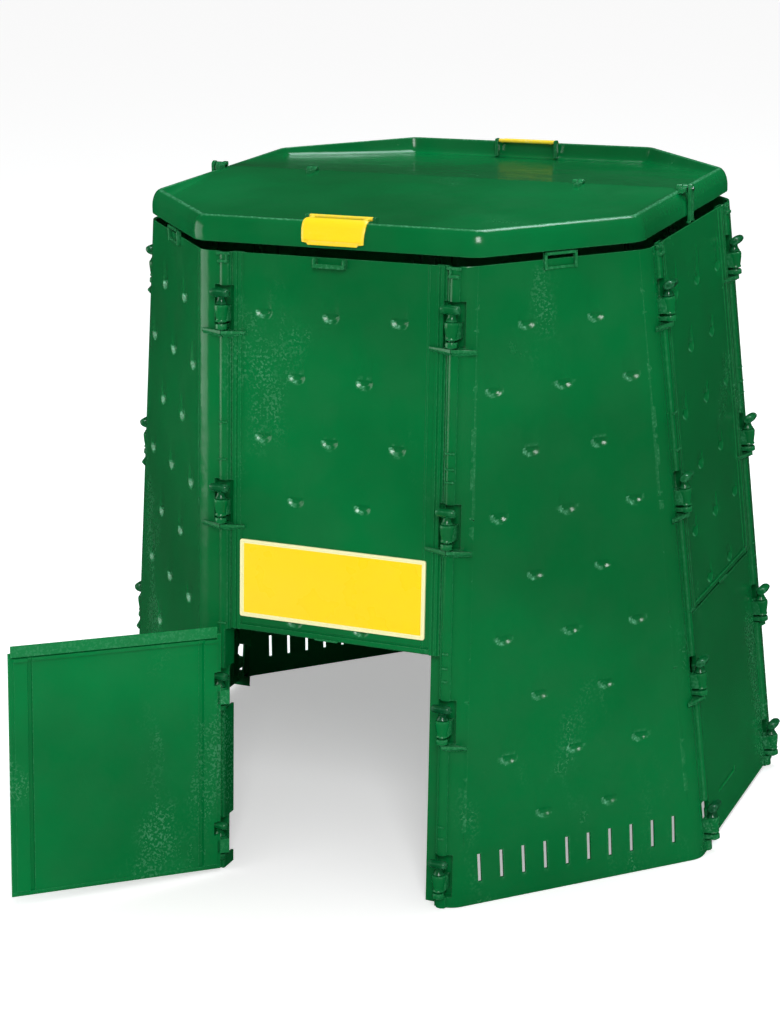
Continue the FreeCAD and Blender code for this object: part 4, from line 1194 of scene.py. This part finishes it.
class MakeDoors(bpy.types.Operator):
    """Build the four doors, the front one open"""
    bl_idname = "composter.doors"
    bl_label = "Doors"

    def execute(self, context):
        scene = context.scene
        body, doors, pins = scene.composter_body, scene.composter_doors, scene.composter_pins
        for turn, face in enumerate(FACES):
            piece = door_piece(body, doors, pins)
            swing = opened(body, doors, pins) if face == "front" else Matrix()
            bmesh.ops.transform(piece, matrix=face_matrix(body) @ swing, verts=piece.verts)
            # Painted light: only the open front door takes the lighter plastic.
            plastic = MATERIALS["door" if face == "front" else "body"]
            finished(face + "_door_flap", piece, plastic, face + "_door", [face + "_door"],
                     turn)
            piece.free()
        return {"FINISHED"}


class MakePins(bpy.types.Operator):
    """Build the pins of every seam and door"""
    bl_idname = "composter.pins"
    bl_label = "Pins"

    def execute(self, context):
        scene = context.scene
        body, pins = scene.composter_body, scene.composter_pins
        levels = levels_of(body, pins)
        for turn, face in enumerate(FACES):
            left, right = -body.seam_left, right_seam(body, turn)
            groups = (("seam_pins", [(x, level) for x in (left, right) for level in levels[:2]]),
                      ("door_hinge_pins", [(left, level) for level in levels[2:]]),
                      ("door_latch_pins", [(right, level) for level in levels[2:]]))
            for tail, places in groups:
                piece = bmesh.new()
                for x, level in places:
                    pin(piece, pins, x, level)
                bmesh.ops.transform(piece, matrix=face_matrix(body), verts=piece.verts)
                finished(f"{face}_{tail}_set", piece, MATERIALS["pin"], "bin", [f"{face}_{tail}"],
                         turn)
                piece.free()
        return {"FINISHED"}


class MakeLid(bpy.types.Operator):
    """Build the lid's halves, ears and axles"""
    bl_idname = "composter.lid"
    bl_label = "Lid"

    def execute(self, context):
        lid = context.scene.composter_lid
        for turn, side in ((0, "front"), (2, "back")):
            piece = lid_half(lid)
            finished(f"lid_{side}_shell", piece, MATERIALS["lid"], "lid_" + side, [f"lid_{side}_half"],
                     turn)
            piece.free()
            piece = grip_piece(lid)
            finished(f"lid_{side}_grip_cover", piece, MATERIALS["grip"], side + "_grip", [f"lid_{side}_grip"],
                     turn)
            piece.free()
            reach, axis = lid.grip_half + 0.0064, grip_axis(lid)
            piece = rod(0.0025, (-reach, -lid.grip_pivot, axis), (reach, -lid.grip_pivot, axis), 0.0005)
            finished(f"lid_{side}_grip_rod", piece, MATERIALS["steel"], "lid_" + side,
                     [f"lid_{side}_grip_pin"], turn)
            piece.free()
        self.make_hinge(lid)
        return {"FINISHED"}

    def make_hinge(self, lid):
        """The steel rods of the ridge and the two ears that hold its ends."""
        inner = lid.apothem - lid.barrel_gap * 2 - lid.barrel * 2
        outer = lid.apothem + 0.009
        ends = bmesh.new()
        for sign in (-1, 1):
            put(ends, rod(lid.axle_radius, (inner * sign, 0, lid.top), (outer * sign, 0, lid.top), 0.0006))
        finished("lid_end_rods", ends, MATERIALS["steel"], "bin", ["lid_end_axles"])
        ends.free()
        ridge = bmesh.new()
        for sign in (-1, 1):
            middle = (lid.ridge_barrel - lid.barrel_gap / 2) * sign
            start, end = middle - 0.0093, middle + 0.0093
            put(ridge, rod(lid.axle_radius, (start, 0, lid.top), (end, 0, lid.top), 0.0006))
        finished("lid_ridge_rods", ridge, MATERIALS["steel"], "lid_back", ["lid_ridge_pins"])
        ridge.free()
        for sign, side in ((-1, "left"), (1, "right")):
            low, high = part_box("lid_hinge_ear_" + side)
            first, last = sorted(((lid.apothem + 0.001) * sign, (lid.apothem + 0.007) * sign))
            ear = bmesh.new()
            put(ear, block((first, -0.008, low.z), (last, 0.008, lid.top)))
            put(ear, rod(0.008, (first, 0, lid.top), (last, 0, lid.top), 0.001))
            inside, outside = (low.x, last) if sign > 0 else (first, high.x)
            put(ear, block((inside, low.y, low.z), (outside, high.y, low.z + 0.004)))
            finished("lid_ear_" + side, ear, MATERIALS["body"], "bin", ["lid_hinge_ear_" + side])
            ear.free()


class MakePlate(bpy.types.Operator):
    """Build the bare plate on the front"""
    bl_idname = "composter.plate"
    bl_label = "Plate"

    def execute(self, context):
        body = context.scene.composter_body
        piece = plate_piece(body, context.scene.composter_plate)
        bmesh.ops.transform(piece, matrix=face_matrix(body), verts=piece.verts)
        finished("front_plate", piece, [MATERIALS["rim"], MATERIALS["plate"]], "bin", ["label_plate"])
        piece.free()
        return {"FINISHED"}


WHITE = (1.0, 1.0, 1.0, 1.0)
# Name, place, aim, width and height in metres, watts, and tint.
LAMPS = (("key", (2.0, -4.0, 3.4), (0.0, -0.2, 0.55), (1.4, 1.8), 102, WHITE[:3]),
         ("fill", (-3.9, -1.7, 0.9), (-0.1, 0, 0.5), (3.4, 2.6), 48, WHITE[:3]),
         ("top", (0.4, 1.4, 4.4), (0, 0, 0.9), (2.4, 1.6), 90, (0.8, 0.98, 1.0)))
WORLD_LIGHT = 0.6        # strength of the even light round the object
WORLD_UNSEEN = 0.96      # share of it that glossy skins don't show
CAMERA_PLACE = (1.484, -3.491, 1.683)
CAMERA_FORWARD = (-0.3958, 0.8664, -0.3047)
CAMERA_ROLL = math.radians(-1.41)
CAMERA_LENS = 80.37


def add_lamp(name, place, aim, size, power, tint):
    """A soft rectangular lamp at a place, aimed at a point."""
    data = bpy.data.lights.new(name, "AREA")
    data.shape = "RECTANGLE"
    data.size, data.size_y = size
    data.energy = power
    data.color = tint
    lamp = bpy.data.objects.new(name, data)
    lamp.location = place
    lamp.rotation_euler = (Vector(aim) - Vector(place)).to_track_quat("-Z", "Y").to_euler()
    bpy.context.scene.collection.objects.link(lamp)
    lamp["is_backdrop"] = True


def add_floor(scene, colours):
    """A seamless floor under the composter."""
    ground = bmesh.new()
    bmesh.ops.create_grid(ground, x_segments=1, y_segments=1, size=30)
    mesh = bpy.data.meshes.new("studio_floor")
    ground.to_mesh(mesh)
    ground.free()
    mesh.materials.append(matt_floor("matt_studio_floor", colours.floor))
    floor = bpy.data.objects.new("studio_floor", mesh)
    floor.location.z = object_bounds()[0].z
    scene.collection.objects.link(floor)
    floor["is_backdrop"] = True


def set_world(scene):
    """An even white world, seen by the camera and hardly by the glossy skins."""
    world = bpy.data.worlds.new("studio")
    world.use_nodes = True
    tree = world.node_tree
    tree.nodes.clear()
    path = add_node(tree, "LightPath")
    unseen = math_of(tree, "MULTIPLY", path.outputs["Is Glossy Ray"], WORLD_UNSEEN)
    sheen = math_of(tree, "SUBTRACT", 1.0, unseen)
    plain = add_node(tree, "Background", None, Color=WHITE,
                     Strength=math_of(tree, "MULTIPLY", sheen, WORLD_LIGHT))
    white = add_node(tree, "Background", None, Color=WHITE, Strength=1.0)
    mix = add_node(tree, "MixShader", None, i0=path.outputs["Is Camera Ray"], i1=plain.outputs[0],
                   i2=white.outputs[0])
    output = add_node(tree, "OutputWorld")
    tree.links.new(mix.outputs[0], output.inputs["Surface"])
    scene.world = world
    scene.view_settings.view_transform = "Standard"


def add_camera(scene):
    """The camera: at its place, looking forward, rolled a little."""
    data = bpy.data.cameras.new("camera")
    data.sensor_width = 36
    data.lens = CAMERA_LENS
    data.clip_end = 100
    camera = bpy.data.objects.new("camera", data)
    forward = Vector(CAMERA_FORWARD).normalized()
    right = forward.cross(Vector((0, 0, 1))).normalized()
    up = right.cross(forward)
    side = right * math.cos(CAMERA_ROLL) + up * math.sin(CAMERA_ROLL)
    above = up * math.cos(CAMERA_ROLL) - right * math.sin(CAMERA_ROLL)
    axes = Matrix((side, above, -forward)).transposed().to_4x4()
    camera.matrix_world = Matrix.Translation(CAMERA_PLACE) @ axes
    scene.collection.objects.link(camera)
    scene.camera = camera


class MakeStage(bpy.types.Operator):
    """Set the floor, the lamps, the world and the camera"""
    bl_idname = "composter.stage"
    bl_label = "Stage"

    def execute(self, context):
        scene = context.scene
        add_floor(scene, scene.composter_colours)
        for lamp in LAMPS:
            add_lamp(*lamp)
        set_world(scene)
        add_camera(scene)
        return {"FINISHED"}


class ComposterPanel(bpy.types.Panel):
    """Buttons and sizes of the composter"""
    bl_idname = "VIEW3D_PT_composter"
    bl_label = "Garden Composter"
    bl_space_type = "VIEW_3D"
    bl_region_type = "UI"
    bl_category = "Composter"

    def draw(self, context):
        for operator in OPERATORS:
            self.layout.operator(operator.bl_idname)
        for name, group in GROUPS.items():
            settings = getattr(context.scene, name)
            for key in group.__annotations__:
                self.layout.prop(settings, key)


GROUPS = {"composter_body": BodySizes, "composter_doors": DoorSizes, "composter_pins": PinSizes,
          "composter_lid": LidSizes, "composter_plate": PlateSizes, "composter_colours": Colours}
OPERATORS = (MakeMaterials, MakeWalls, MakeCorners, MakeDoors, MakePins, MakeLid, MakePlate, MakeStage)
CLASSES = tuple(GROUPS.values()) + OPERATORS + (ComposterPanel,)


def register():
    for each in CLASSES:
        bpy.utils.register_class(each)
    for name, group in GROUPS.items():
        setattr(bpy.types.Scene, name, bpy.props.PointerProperty(type=group))


def unregister():
    for name in GROUPS:
        delattr(bpy.types.Scene, name)
    for each in reversed(CLASSES):
        bpy.utils.unregister_class(each)


def main():
    register()
    for operator in OPERATORS:
        group, name = operator.bl_idname.split(".")
        getattr(getattr(bpy.ops, group), name)()


if __name__ == "__main__":
    main()
